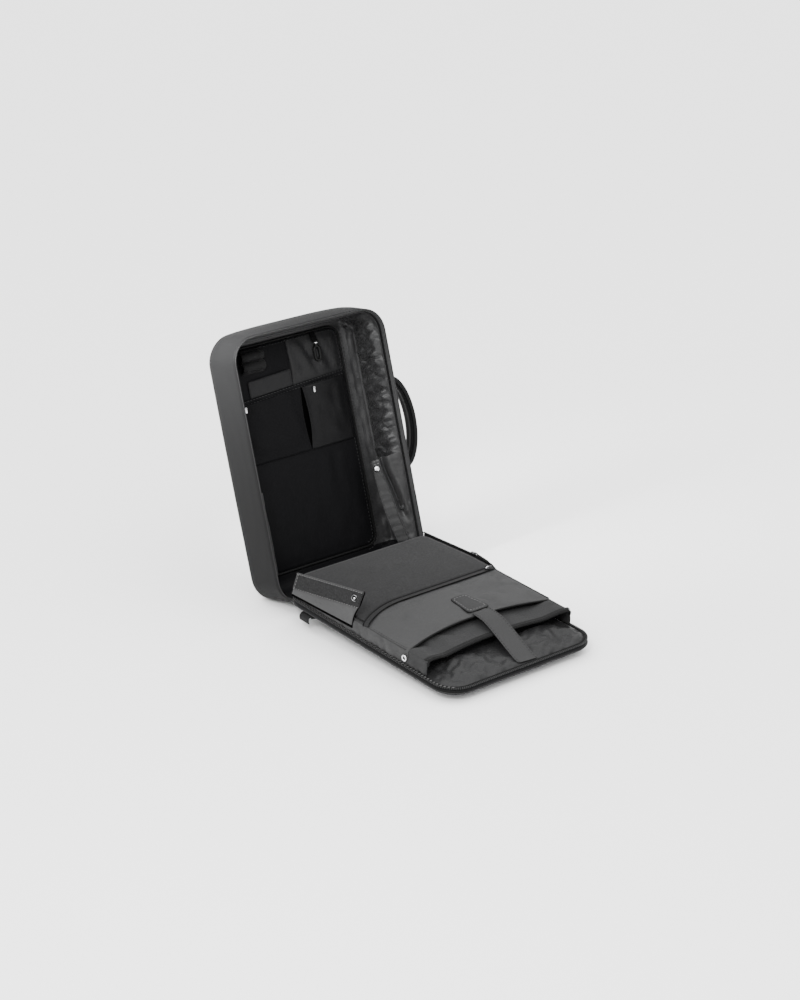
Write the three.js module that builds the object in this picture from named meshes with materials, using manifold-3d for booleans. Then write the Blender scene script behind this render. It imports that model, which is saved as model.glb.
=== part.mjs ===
// An anti-theft backpack, opened like a case: a deep shell leans back on its bottom edge, and a flat
// lid, joined to it along that edge by a fabric hinge, lies in front with the padded sleeve on it.
// Millimetres, +Z up. The hinge runs along X, the lid reaches to -Y and the shell's depth to +Y.
import * as THREE from "three";
import { mergeVertices } from "three/addons/utils/BufferGeometryUtils.js";
import Module from "manifold-3d";

const wasm = await Module();
wasm.setup();

// Whole bag
const WIDTH = 300;
const HEIGHT = 412; // from the hinge to the far rim, the same on shell and lid
const CORNER = 40; // corner radius of the rims
const LEAN = THREE.MathUtils.degToRad(16.6); // the shell leans back from upright
const TILT = THREE.MathUtils.degToRad(2.8); // the lid falls towards its far end
const GAP = 0.3; // between pieces that touch
const SOFT_CORNER = 3; // corner radius of pockets and wings
const HEM_CORNER = 1; // corner radius of narrow bands and hooks
const ARC_STEPS = 3; // half the facets of a corner
const HALF = WIDTH / 2;

// Shell, measured as width, height up the mouth and depth behind the mouth
const SHELL_DEPTH = 89;
const SHELL_EDGE = 22; // radius of the edge round the back of the shell
const SHELL_WALL = 3;
const SHELL_FOOT = 16; // the shell's bottom lies this far below the hinge line
const SHELL_RISE = 2; // the mouth starts this far above the lid's underside
const LINING_WALL = 1;
const ZIP_WIDTH = 4.6;
const ZIP_DEPTH = 3.7;
const ZIP_INSET = 0.4;
const ZIP_START = 10; // the zips begin this far from the hinge

// Organizer on the inside of the shell's back
const PANEL = { half: 112, low: 20, high: 388, radius: 18, thickness: 2 };
const PIPING = 3.2;
const POCKET_THICKNESS = 1.5;
const POCKETS = [
  { name: "pocket_left", left: -108, right: 17, low: 200, high: 298 },
  { name: "pocket_right", left: 23, right: 108, low: 200, high: 302 },
  { name: "card_pocket", left: -86, right: 2, low: 311, high: 338 },
];
const BINDING = { left: -108, right: 108, low: 303, high: 310 };
const PULLS = [
  { name: "pocket_pull_left", x: -98, top: 296 },
  { name: "pocket_pull_right", x: 40, top: 301 },
];
const PULL = { width: 5, length: 12, thickness: 1.6 };
const PEN_BAND = { left: -88, right: -44, low: 346, high: 385, wall: 1.2 };
const PEN_LOOP = { spacing: 17, halfHeight: 7, depth: 7.8 };
const KEY = { x: 66, strapTop: 386, strapLow: 372, strapWidth: 10, hookLow: 338, hookWidth: 12 };
const KEY_HOOK = { thickness: 4, slot: 3.6, wall: 5, corner: 5, slotCorner: 1.6 };

// Side wings that limit the opening, one standing and one folded on the shell, one on the lid
const WING_THICKNESS = 1.5;
const SHELL_WING = { width: 54.5, lowWidth: 43.5, low: 20, high: 169, drop: 8, strip: 21.5 };
const SHELL_WING_SEAT = { x: 144.3, depth: 4, fold: 39 };
const FOLDED_WING = { front: 6, back: 60, low: 34, high: 168, seat: 145.2 };
const STUD = { radius: 4.6, height: 2.6, edge: 8, below: 13 };
const LID_WING = { base: [27, 177], top: [37, 197], heights: [44, 76], strip: 29, lean: 6 };
const LID_WING_SEAT = { x: -149.2, height: 13.8 };

// Carrying handle on the shell's side
const HANDLE = { low: 132, high: 294, depth: 42, reach: 62, width: 18, thickness: 9, steps: 16 };
const HANDLE_SPREAD = 2; // the handle's pull points lie this far beyond its ends
const ANCHOR = { width: 32, height: 36, thickness: 3, radius: 7 };

// Lid, measured as width, distance from the hinge and height above the lid's underside
const LID_START = 4;
const LID_THICKNESS = 9;
const LID_BEVEL = 3;
const LID_LINING = { inset: 6, thickness: 1.7 };
const HINGE_WEB = { low: -8.8, high: 8.6, near: 1.8, corner: 0.5 };
const SLEEVE_CORNER = 32; // radius of the sleeve's left corner at the hinge
const SLEEVE_TAPER = { far: 120, inset: 12, corner: 14 }; // its right side draws in at the hinge
const SLEEVE = { half: 144.5, start: 12, corner: 352, middle: 332, low: 11.3, high: 30, wall: 2 };
const TABLET = { half: 144, start: 13, corner: 308, middle: 281, low: 30.3, high: 38.7, wall: 1.5 };
const FELT = { half: 141, start: 15, straight: 167, side: 198, bend: -48, thickness: 1.3 };
const POCKET_ZIP = { width: 8.5, thickness: 1.6, offset: 6.4, steps: 26 };
const STRAP = { x: 27, width: 36, thickness: 1.6, start: 275, level: 316, end: 394, hem: 402, slant: 6.5 };
const TAB = { near: 220, far: 272, nearWidth: 29, farWidth: 40, taper: 16, thickness: 2.4 };
const RING_SNAP = { distance: 302, height: 23, inner: 2.2, outer: 5, thickness: 1.6 };
const ZIP_TAIL = { x: 148.5, half: 0.9, near: 8, far: 160, end: 214, low: 13.8, high: 40, tip: 2 };
const SLIDER = { width: 7, length: 11, thickness: 4 };
const RIM_SLIDER_AT = 118;
const RIM_PULL = { length: 32, thickness: 3, corner: 1.2 };

// Shoulder straps, folded flat under the lid
const SHOULDER = { inner: 25, outer: 80, near: 120, thickness: 14, radius: 18, bevel: 4 };
const WEBBING = { inner: 38, outer: 66, near: 50, far: 82, reach: 152, thickness: 2, hang: 14, corner: 4 };

// Height of the hinge line that sets the shell's rounded bottom edge on the ground
const EDGE_CENTRE_DEPTH = SHELL_DEPTH - SHELL_EDGE;
const EDGE_CENTRE_HEIGHT = SHELL_EDGE - SHELL_FOOT;
const MOUTH_HEIGHT =
  SHELL_EDGE + EDGE_CENTRE_DEPTH * Math.sin(LEAN) - EDGE_CENTRE_HEIGHT * Math.cos(LEAN);
const HINGE_HEIGHT = MOUTH_HEIGHT - SHELL_RISE;
// The far ends of the shoulder straps touch the ground there
const SHOULDER_FAR =
  (HINGE_HEIGHT - (SHOULDER.thickness + GAP) * Math.cos(TILT)) / Math.sin(TILT);

// Levels inside the shell, as depths behind the mouth, and on the lid, as heights
const LINING_INSET = SHELL_WALL + GAP;
const PANEL_BACK = SHELL_DEPTH - LINING_INSET - LINING_WALL - GAP;
const PANEL_FRONT = PANEL_BACK - PANEL.thickness;
const POCKET_BACK = PANEL_FRONT - GAP;
const LINING_LEVEL = LID_THICKNESS + GAP;
const SLEEVE_TOP = TABLET.high + GAP;

// Finishes
const finish = (color, roughness, metalness = 0) =>
  new THREE.MeshStandardMaterial({ color, roughness, metalness });
const COATED_CLOTH = finish(0x4a4a4a, 0.75);
const LINING_CLOTH = finish(0x3a3a3b, 0.5);
const DARK_CLOTH = finish(0x242426, 0.8);
const POCKET_CLOTH = finish(0x5f5f5f, 0.8);
const FELT_CLOTH = finish(0x464646, 0.95);
const WEBBING_CLOTH = finish(0x5c5c5c, 0.85);
const ZIP_TAPE = finish(0x1d1d1d, 0.6);
const BLACK_PLASTIC = finish(0x161616, 0.4);
const STEEL = finish(0xb9b9b9, 0.3, 0.9);

const shell = new THREE.Group();
shell.position.z = MOUTH_HEIGHT;
shell.rotation.x = -LEAN;

const lid = new THREE.Group();
lid.position.z = HINGE_HEIGHT;
lid.rotation.x = TILT;

// Adds one named piece to a group and returns it.
function piece(group, name, geometry, material) {
  const mesh = new THREE.Mesh(geometry, material);
  mesh.name = name;
  group.add(mesh);
  return mesh;
}

// A rectangle with round corners.
function roundedShape(left, right, low, high, radius) {
  const shape = new THREE.Shape();
  const quarter = Math.PI / 2;
  shape.absarc(right - radius, high - radius, radius, 0, quarter);
  shape.absarc(left + radius, high - radius, radius, quarter, 2 * quarter);
  shape.absarc(left + radius, low + radius, radius, 2 * quarter, 3 * quarter);
  shape.absarc(right - radius, low + radius, radius, 3 * quarter, 4 * quarter);
  shape.closePath();
  return shape;
}

// A closed outline through corner points.
function polygonShape(corners) {
  return new THREE.Shape(corners.map(([x, y]) => new THREE.Vector2(x, y)));
}

// A frame between an outline and a second outline inside it.
function frameShape(outer, inner) {
  outer.holes.push(inner);
  return outer;
}

// A plate of an outline, from z = 0 up, with rounded edges where a bevel is given.
function plate(shape, thickness, bevel = 0) {
  const geometry = new THREE.ExtrudeGeometry(shape, {
    depth: thickness - 2 * bevel,
    bevelEnabled: bevel > 0,
    bevelThickness: bevel,
    bevelSize: bevel,
    bevelOffset: -bevel,
    bevelSegments: ARC_STEPS,
    curveSegments: ARC_STEPS,
  });
  return geometry.translate(0, 0, bevel);
}

// A plate parallel to the shell's mouth, whose front lies at a depth behind the mouth.
function uprightPlate(shape, front, thickness, bevel = 0) {
  const geometry = plate(shape, thickness, bevel).rotateX(Math.PI / 2);
  return geometry.translate(0, front + thickness, 0);
}

// A plate on the lid, whose underside lies at a height.
function lidPlate(shape, low, thickness, bevel = 0) {
  return plate(shape, thickness, bevel).translate(0, 0, low);
}

// A plate across X, drawn in the plane of Y and Z and reaching from one X to another.
function crossPlate(shape, fromX, toX, bevel = 0) {
  const basis = new THREE.Matrix4().makeBasis(
    new THREE.Vector3(0, 1, 0),
    new THREE.Vector3(0, 0, 1),
    new THREE.Vector3(1, 0, 0),
  );
  return plate(shape, toX - fromX, bevel).applyMatrix4(basis).translate(fromX, 0, 0);
}

// A section swept along a curve.
function sweep(section, path, steps) {
  return new THREE.ExtrudeGeometry(section, {
    steps,
    extrudePath: path,
    bevelEnabled: false,
    curveSegments: ARC_STEPS,
  });
}

// A round fastener: a profile of radius and height pairs turned about the Z axis.
function turned(profile) {
  const points = profile.map(([radius, height]) => new THREE.Vector2(radius, height));
  return new THREE.LatheGeometry(points, 8 * ARC_STEPS).rotateX(Math.PI / 2);
}

// Booleans
function solid(geometry) {
  const bare = geometry.clone();
  bare.deleteAttribute("normal");
  bare.deleteAttribute("uv");
  const merged = mergeVertices(bare, 1e-4);
  const vertProperties = new Float32Array(merged.attributes.position.array);
  const triVerts = new Uint32Array(merged.index.array);
  return new wasm.Manifold(new wasm.Mesh({ numProp: 3, vertProperties, triVerts }));
}

function cut(body, ...tools) {
  const left = tools.reduce((rest, tool) => rest.subtract(solid(tool)), solid(body));
  const { vertProperties, triVerts } = left.getMesh();
  const geometry = new THREE.BufferGeometry();
  geometry.setAttribute("position", new THREE.BufferAttribute(vertProperties, 3));
  geometry.setIndex(new THREE.BufferAttribute(triVerts, 1));
  return geometry;
}

// The rim's outline, drawn a distance within the bag's outside.
function shellOutline(inset) {
  return roundedShape(
    inset - HALF,
    HALF - inset,
    inset - SHELL_FOOT,
    HEIGHT - inset,
    CORNER - inset,
  );
}

function lidOutline(inset) {
  const start = LID_START + inset;
  return roundedShape(inset - HALF, HALF - inset, inset - HEIGHT, -start, CORNER - inset);
}

// One layer of the shell: a tub whose outside lies a distance within the shell's outer face.
function tub(inset, wall, mouth) {
  const reach = 2 * SHELL_EDGE;
  const block = (depth) =>
    uprightPlate(shellOutline(depth), -reach, SHELL_DEPTH - depth + reach, SHELL_EDGE - depth);
  const front = new THREE.BoxGeometry(2 * WIDTH, 2 * reach, 3 * HEIGHT);
  return cut(block(inset), block(inset + wall), front.translate(0, mouth - reach, 0));
}

// Leaves only what lies beyond the zip's start, so that a rim's frame is open at the hinge.
function openAtHinge(frame, direction) {
  const hinge = new THREE.BoxGeometry(2 * WIDTH, 2 * WIDTH, 2 * WIDTH);
  const [y, z] = direction;
  return cut(frame, hinge.translate(0, (ZIP_START - WIDTH) * y, (ZIP_START - WIDTH) * z));
}

// Outer fabric, lining and zip of the shell
function buildShell() {
  piece(shell, "shell_body", tub(0, SHELL_WALL, 0), COATED_CLOTH);
  piece(shell, "shell_lining", tub(LINING_INSET, LINING_WALL, GAP), LINING_CLOTH);
  const rim = frameShape(shellOutline(ZIP_INSET), shellOutline(ZIP_INSET + ZIP_WIDTH));
  const zip = uprightPlate(rim, -GAP - ZIP_DEPTH, ZIP_DEPTH);
  piece(shell, "shell_zip", openAtHinge(zip, [0, 1]), ZIP_TAPE);
}

// The organizer panel with its piping and flat pockets
function buildOrganizer() {
  const { half, low, high, radius, thickness } = PANEL;
  const outline = (out) =>
    roundedShape(-half - out, half + out, low - out, high + out, radius + out);
  piece(shell, "organizer_panel", uprightPlate(outline(0), PANEL_FRONT, thickness), DARK_CLOTH);
  const cord = frameShape(outline(GAP + PIPING), outline(GAP));
  const cordFront = PANEL_BACK - PIPING;
  piece(shell, "organizer_piping", uprightPlate(cord, cordFront, PIPING, PIPING / 3), ZIP_TAPE);

  const front = POCKET_BACK - POCKET_THICKNESS;
  for (const pocket of POCKETS) {
    const shape = roundedShape(pocket.left, pocket.right, pocket.low, pocket.high, SOFT_CORNER);
    piece(shell, pocket.name, uprightPlate(shape, front, POCKET_THICKNESS), DARK_CLOTH);
  }
  const hem = roundedShape(BINDING.left, BINDING.right, BINDING.low, BINDING.high, HEM_CORNER);
  piece(shell, "pocket_binding", uprightPlate(hem, front, POCKET_THICKNESS), ZIP_TAPE);
  for (const { name, x, top } of PULLS) {
    const half = PULL.width / 2;
    const shape = roundedShape(x - half, x + half, top - PULL.length, top, HEM_CORNER);
    piece(shell, name, uprightPlate(shape, front - GAP - PULL.thickness, PULL.thickness), STEEL);
  }
}

// An elastic band sewn into two loops, one above the other
function buildPenBand() {
  const { left, right, low, high, wall } = PEN_BAND;
  const base = POCKET_BACK - wall;
  const centre = (low + high) / 2;
  const loops = [centre + PEN_LOOP.spacing / 2, centre - PEN_LOOP.spacing / 2];
  const shape = new THREE.Shape();
  shape.moveTo(POCKET_BACK, low);
  shape.lineTo(POCKET_BACK, high);
  shape.lineTo(base, high);
  for (const height of loops) {
    const outer = [PEN_LOOP.depth + wall, PEN_LOOP.halfHeight + wall];
    shape.absellipse(base, height, ...outer, Math.PI / 2, 1.5 * Math.PI);
    const hollow = new THREE.Path();
    const inner = [PEN_LOOP.depth, PEN_LOOP.halfHeight];
    hollow.absellipse(base, height, ...inner, Math.PI / 2, 1.5 * Math.PI);
    hollow.closePath();
    shape.holes.push(hollow);
  }
  shape.lineTo(base, low);
  shape.closePath();
  piece(shell, "pen_band", crossPlate(shape, left, right), WEBBING_CLOTH);
}

// A short strap with a hook for keys, hanging against the panel
function buildKeyHook() {
  const half = KEY.strapWidth / 2;
  const strap = roundedShape(KEY.x - half, KEY.x + half, KEY.strapLow, KEY.strapTop, HEM_CORNER);
  const front = POCKET_BACK - POCKET_THICKNESS;
  piece(shell, "key_strap", uprightPlate(strap, front, POCKET_THICKNESS), ZIP_TAPE);
  const halfHook = KEY.hookWidth / 2;
  const top = KEY.strapLow - GAP;
  const body = roundedShape(KEY.x - halfHook, KEY.x + halfHook, KEY.hookLow, top, KEY_HOOK.corner);
  const halfSlot = KEY_HOOK.slot / 2;
  const slot = roundedShape(
    KEY.x - halfSlot,
    KEY.x + halfSlot,
    KEY.hookLow + KEY_HOOK.wall,
    top - KEY_HOOK.wall,
    KEY_HOOK.slotCorner,
  );
  const hook = uprightPlate(frameShape(body, slot), POCKET_BACK - KEY_HOOK.thickness, KEY_HOOK.thickness);
  piece(shell, "key_hook", hook, BLACK_PLASTIC);
}

// A button with a rounded head that points along Z
function studGeometry() {
  const { radius, height } = STUD;
  return turned([
    [0, 0],
    [radius, 0],
    [radius, height / 2],
    [0.7 * radius, height],
    [0, height],
  ]);
}

// The right wing stands folded in from the rim, the left one lies flat on the wall
function buildShellWings() {
  const { width, lowWidth, low, high, drop, strip } = SHELL_WING;
  const wing = new THREE.Group();
  wing.position.set(SHELL_WING_SEAT.x, SHELL_WING_SEAT.depth, 0);
  wing.rotation.z = -THREE.MathUtils.degToRad(SHELL_WING_SEAT.fold);
  shell.add(wing);
  const inner = high - drop;
  const panel = polygonShape([
    [0, low],
    [0, high],
    [-width, inner],
    [-lowWidth, low],
  ]);
  piece(wing, "shell_wing_right", uprightPlate(panel, 0, WING_THICKNESS), LINING_CLOTH);
  const band = polygonShape([
    [strip - lowWidth, low],
    [strip - width, inner + (drop * strip) / width],
    [-width, inner],
    [-lowWidth, low],
  ]);
  const bandFront = -GAP - WING_THICKNESS;
  piece(wing, "shell_wing_strip", uprightPlate(band, bandFront, WING_THICKNESS), WEBBING_CLOTH);
  const stud = piece(wing, "shell_wing_stud", studGeometry(), STEEL);
  stud.position.set(STUD.edge - width, bandFront - GAP, inner - STUD.below);
  stud.rotation.x = Math.PI / 2;

  const { front, back, seat } = FOLDED_WING;
  const flat = roundedShape(front, back, FOLDED_WING.low, FOLDED_WING.high, SOFT_CORNER);
  const folded = crossPlate(flat, -seat, WING_THICKNESS - seat);
  piece(shell, "shell_wing_left", folded, LINING_CLOTH);
}

// A curved carrying handle between two anchor patches on the right wall
function buildHandle() {
  const { low, high, depth, reach, width, thickness, steps } = HANDLE;
  const wall = HALF + GAP;
  const rows = [
    ["handle_anchor_lower", low],
    ["handle_anchor_upper", high],
  ];
  for (const [name, height] of rows) {
    const patch = roundedShape(
      depth - ANCHOR.width / 2,
      depth + ANCHOR.width / 2,
      height - ANCHOR.height / 2,
      height + ANCHOR.height / 2,
      ANCHOR.radius,
    );
    piece(shell, name, crossPlate(patch, wall, wall + ANCHOR.thickness), DARK_CLOTH);
  }
  const seat = wall + ANCHOR.thickness + GAP;
  const path = new THREE.CubicBezierCurve3(
    new THREE.Vector3(seat, depth, low),
    new THREE.Vector3(seat + reach, depth, low - HANDLE_SPREAD),
    new THREE.Vector3(seat + reach, depth, high + HANDLE_SPREAD),
    new THREE.Vector3(seat, depth, high),
  );
  const section = roundedShape(-width / 2, width / 2, -thickness / 2, thickness / 2, thickness / 3);
  piece(shell, "handle_grip", sweep(section, path, steps), DARK_CLOTH);
}

// Board, zip and lining of the lid, and the fabric that joins it to the shell
function buildLid() {
  const board = lidPlate(lidOutline(0), 0, LID_THICKNESS, LID_BEVEL);
  piece(lid, "lid_panel", board, COATED_CLOTH);
  const rim = frameShape(lidOutline(ZIP_INSET), lidOutline(ZIP_INSET + ZIP_WIDTH));
  const zip = lidPlate(rim, LINING_LEVEL, ZIP_DEPTH);
  piece(lid, "lid_zip", openAtHinge(zip, [-1, 0]), ZIP_TAPE);
  const lining = lidOutline(LID_LINING.inset);
  piece(lid, "lid_lining", lidPlate(lining, LINING_LEVEL, LID_LINING.thickness), LINING_CLOTH);

  const straight = HALF - CORNER;
  const { low, high, near, corner } = HINGE_WEB;
  const web = roundedShape(-straight, straight, GAP - LID_START, -near, corner);
  piece(lid, "hinge_web", lidPlate(web, low, high - low), COATED_CLOTH);
}

// Ends an outline with the round corners and straight edge that it has at the hinge.
function closeAtHinge(shape, half, start) {
  const quarter = Math.PI / 2;
  const { far, inset, corner } = SLEEVE_TAPER;
  const side = half - inset;
  shape.lineTo(half, -far);
  shape.lineTo(side, -start - corner);
  shape.quadraticCurveTo(side, -start, side - corner, -start);
  shape.absarc(SLEEVE_CORNER - half, -start - SLEEVE_CORNER, SLEEVE_CORNER, quarter, 2 * quarter);
  shape.closePath();
  return shape;
}

// An outline with a hollowed mouth at its far end.
function mouthShape({ half, start, corner, middle }) {
  const shape = new THREE.Shape();
  shape.moveTo(-half, -corner);
  shape.quadraticCurveTo(0, corner - 2 * middle, half, -corner);
  return closeAtHinge(shape, half, start);
}

// A flat sleeve, closed at the hinge end and open at its mouth, with or without a floor
function pocketBox(row, hasFloor) {
  const { half, start, low, high, wall } = row;
  const floor = hasFloor ? wall : -wall;
  const space = new THREE.Shape();
  space.moveTo(wall - half, -HEIGHT);
  space.lineTo(half - wall, -HEIGHT);
  closeAtHinge(space, half - wall, start + wall);
  const outer = lidPlate(mouthShape(row), low, high - low);
  return cut(outer, lidPlate(space, low + floor, high - wall - low - floor));
}

// The laptop sleeve, the tablet pocket on it and the felt pocket with its curved zip
function buildSleeve() {
  piece(lid, "laptop_sleeve", pocketBox(SLEEVE, true), POCKET_CLOTH);
  piece(lid, "tablet_pocket", pocketBox(TABLET, false), POCKET_CLOTH);

  const { half, start, straight, side, bend, thickness } = FELT;
  const felt = new THREE.Shape();
  felt.moveTo(-half, -side);
  felt.quadraticCurveTo(bend - half / 3, -straight, bend, -straight);
  felt.lineTo(half, -straight);
  closeAtHinge(felt, half, start);
  piece(lid, "felt_panel", lidPlate(felt, SLEEVE_TOP, thickness), FELT_CLOTH);

  const level = SLEEVE_TOP + POCKET_ZIP.thickness / 2;
  const at = (x, distance) => new THREE.Vector3(x, -distance - POCKET_ZIP.offset, level);
  const route = new THREE.CurvePath();
  route.add(
    new THREE.QuadraticBezierCurve3(
      at(-half, side),
      at(bend - half / 3, straight),
      at(bend, straight),
    ),
  );
  route.add(new THREE.LineCurve3(at(bend, straight), at(half, straight)));
  const halfTape = POCKET_ZIP.thickness / 2;
  const halfWidth = POCKET_ZIP.width / 2;
  const tape = polygonShape([
    [-halfTape, -halfWidth],
    [halfTape, -halfWidth],
    [halfTape, halfWidth],
    [-halfTape, halfWidth],
  ]);
  piece(lid, "pocket_zip", sweep(tape, route, POCKET_ZIP.steps), ZIP_TAPE);
  const slider = piece(lid, "pocket_zip_slider", sliderGeometry(), STEEL);
  const sliderLevel = level + POCKET_ZIP.thickness / 2 + GAP;
  slider.position.set(half - SLIDER.length, -straight - POCKET_ZIP.offset, sliderLevel);
  slider.rotation.z = Math.PI / 2;
}

// A zip slider lying along Y
function sliderGeometry() {
  const half = SLIDER.width / 2;
  const shape = roundedShape(-half, half, -SLIDER.length / 2, SLIDER.length / 2, half / 2);
  return plate(shape, SLIDER.thickness);
}

// The strap that closes the sleeve's mouth, with its stitched tab
function buildClosingStrap() {
  const tabOutline = polygonShape([
    [STRAP.x - TAB.farWidth / 2, -TAB.far],
    [STRAP.x + TAB.farWidth / 2, -TAB.far],
    [STRAP.x + TAB.farWidth / 2, -TAB.near - TAB.taper],
    [STRAP.x + TAB.nearWidth / 2, -TAB.near],
    [STRAP.x - TAB.nearWidth / 2, -TAB.near],
    [STRAP.x - TAB.farWidth / 2, -TAB.near - TAB.taper],
  ]);
  piece(lid, "strap_tab", lidPlate(tabOutline, SLEEVE_TOP, TAB.thickness), WEBBING_CLOTH);

  const { start, level, end, hem, thickness, width, slant } = STRAP;
  const hemLevel = LINING_LEVEL + LID_LINING.thickness + GAP;
  const underside = [
    [start, SLEEVE_TOP],
    [level, SLEEVE_TOP],
    [end, hemLevel],
    [hem, hemLevel],
  ];
  const below = underside.map(([distance, height]) => [start - distance, height]);
  const above = below.map(([y, height]) => [y, height + thickness]).reverse();
  const band = crossPlate(polygonShape([...below, ...above]), -width / 2, width / 2);
  const strap = piece(lid, "closing_strap", band, WEBBING_CLOTH);
  strap.position.set(STRAP.x, -start, 0);
  strap.rotation.z = -THREE.MathUtils.degToRad(slant);
}

// A ring snap on the sleeve's left wall
function buildRingSnap() {
  const { distance, height, inner, outer, thickness } = RING_SNAP;
  const ring = turned([
    [inner, 0],
    [outer, 0],
    [outer, thickness / 2],
    [(inner + outer) / 2, thickness],
    [inner, thickness / 2],
    [inner, 0],
  ]);
  const snap = piece(lid, "ring_snap", ring, STEEL);
  snap.position.set(-SLEEVE.half - GAP, -distance, height);
  snap.rotation.y = -Math.PI / 2;
}

// The left wing of the lid stands along the sleeve, its strip and snap facing out
function buildLidWing() {
  const { base, top, heights, strip, lean } = LID_WING;
  const wing = new THREE.Group();
  wing.position.set(LID_WING_SEAT.x, 0, LID_WING_SEAT.height);
  wing.rotation.y = THREE.MathUtils.degToRad(lean);
  lid.add(wing);
  const upper = [
    [-top[0], heights[0]],
    [-top[1], heights[1]],
  ];
  const panel = polygonShape([[-base[1], 0], [-base[0], 0], ...upper]);
  piece(wing, "lid_wing", crossPlate(panel, 0, WING_THICKNESS), LINING_CLOTH);
  const lower = upper.map(([y, height]) => [y, height - strip]).reverse();
  const band = polygonShape([...upper, ...lower]);
  const outside = -GAP - WING_THICKNESS;
  piece(wing, "lid_wing_strip", crossPlate(band, outside, -GAP), FELT_CLOTH);
  const snap = piece(wing, "lid_wing_snap", studGeometry(), STEEL);
  snap.position.set(outside - GAP, STUD.below - top[1], heights[1] - STUD.below);
  snap.rotation.y = -Math.PI / 2;
}

// The zip's standing tail on the lid's right edge, with its slider and cord pull
function buildZipTail() {
  const { x, half, near, far, end, low, high, tip } = ZIP_TAIL;
  const bend = SLEEVE_TAPER.far;
  const nearX = x - SLEEVE_TAPER.inset;
  const plan = polygonShape([
    [nearX - half, -near],
    [x - half, -bend],
    [x - half, -end],
    [x + half, -end],
    [x + half, -bend],
    [nearX + half, -near],
  ]);
  const above = polygonShape([
    [-end - 1, low + tip],
    [-end, low + tip],
    [-far, high],
    [-far, high + 1],
    [-end - 1, high + 1],
  ]);
  const tail = cut(lidPlate(plan, low, high - low), crossPlate(above, x - 2 * half, x + 2 * half));
  piece(lid, "zip_tail", tail, ZIP_TAPE);
  const slider = piece(lid, "rim_slider", sliderGeometry(), STEEL);
  slider.position.set(x, -RIM_SLIDER_AT, high + GAP);
  const pullNear = RIM_SLIDER_AT + SLIDER.length / 2 + GAP;
  const halfPull = RIM_PULL.thickness / 2;
  const pull = roundedShape(
    x - halfPull,
    x + halfPull,
    -pullNear - RIM_PULL.length,
    -pullNear,
    RIM_PULL.corner,
  );
  piece(lid, "rim_pull", lidPlate(pull, high + GAP, RIM_PULL.thickness), BLACK_PLASTIC);
}

// Padded shoulder straps under the lid, with webbing that comes out at its edges
function buildShoulderStraps() {
  const { inner, outer, near, thickness, radius, bevel } = SHOULDER;
  const sides = [
    ["left", -1],
    ["right", 1],
  ];
  for (const [side, sign] of sides) {
    const ends = [sign * inner, sign * outer].sort((a, b) => a - b);
    const pad = roundedShape(...ends, -SHOULDER_FAR, -near, radius);
    const padPlate = lidPlate(pad, -GAP - thickness, thickness, bevel);
    piece(lid, "shoulder_strap_" + side, padPlate, COATED_CLOTH);
    const start = near - GAP;
    const band = polygonShape([
      [sign * WEBBING.inner, -start],
      [sign * WEBBING.outer, -start],
      [sign * WEBBING.reach, -WEBBING.far],
      [sign * WEBBING.reach, -WEBBING.near],
    ]);
    const level = -GAP - WEBBING.thickness;
    piece(lid, "strap_webbing_" + side, lidPlate(band, level, WEBBING.thickness), WEBBING_CLOTH);
    const hanging = roundedShape(-WEBBING.far, -WEBBING.near, level - WEBBING.hang, -GAP, WEBBING.corner);
    const edge = sign * (WEBBING.reach + GAP);
    const from = Math.min(edge, edge + sign * WEBBING.thickness);
    const loop = crossPlate(hanging, from, from + WEBBING.thickness);
    piece(lid, "webbing_end_" + side, loop, WEBBING_CLOTH);
  }
}

buildShell();
buildOrganizer();
buildPenBand();
buildKeyHook();
buildShellWings();
buildHandle();
buildLid();
buildSleeve();
buildClosingStrap();
buildRingSnap();
buildLidWing();
buildZipTail();
buildShoulderStraps();

// The part's origin is on the ground, under the middle of its box
const bag = new THREE.Group();
bag.add(shell, lid);
bag.updateMatrixWorld(true);
const box = new THREE.Box3().setFromObject(bag, true);
const centre = box.getCenter(new THREE.Vector3());
bag.position.set(-centre.x, -centre.y, -box.min.z);
const backpack = new THREE.Group();
backpack.add(bag);

export default backpack;
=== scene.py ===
"""Looks of an anti-theft backpack that stands open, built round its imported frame."""

import logging
import math
from collections.abc import Callable, Iterable, Sequence
from dataclasses import dataclass, field
from enum import Enum

import bmesh
import bpy
from bmesh.types import BMEdge, BMesh, BMFace, BMVert
from bpy.types import Material, Node, NodeSocket, Object
from mathutils import Matrix, Vector, noise


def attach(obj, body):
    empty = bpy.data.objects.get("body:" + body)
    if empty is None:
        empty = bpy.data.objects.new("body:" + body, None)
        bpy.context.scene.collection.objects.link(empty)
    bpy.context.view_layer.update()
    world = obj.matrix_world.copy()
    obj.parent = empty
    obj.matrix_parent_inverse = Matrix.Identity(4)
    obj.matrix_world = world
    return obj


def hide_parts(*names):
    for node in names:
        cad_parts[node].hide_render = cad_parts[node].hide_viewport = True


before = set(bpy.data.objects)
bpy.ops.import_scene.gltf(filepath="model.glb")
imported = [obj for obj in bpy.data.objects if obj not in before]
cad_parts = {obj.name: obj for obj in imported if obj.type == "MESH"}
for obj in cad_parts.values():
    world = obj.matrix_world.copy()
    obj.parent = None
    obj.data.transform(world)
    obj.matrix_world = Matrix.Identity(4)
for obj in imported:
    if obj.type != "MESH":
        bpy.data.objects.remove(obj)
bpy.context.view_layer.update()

LOG = logging.getLogger("backpack")
BODY = "root"
MM = 0.001

# Sizes of the whole bag, in millimetres
HALF = 150.0
HEIGHT = 412.0
CORNER = 40.0
FOOT = 16.0
LID_START = 4.0
ZIP_START = 10.0
LID_TOP = 9.3
SLEEVE_TOP = 39.0
POCKET_BACK = 82.1
LEFT_CORNER = 32.0
RIGHT_CORNER = 14.0
TAPER_NEAR = 12.0
TAPER_FAR = 120.0
TAPER_INSET = 12.0

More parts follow.
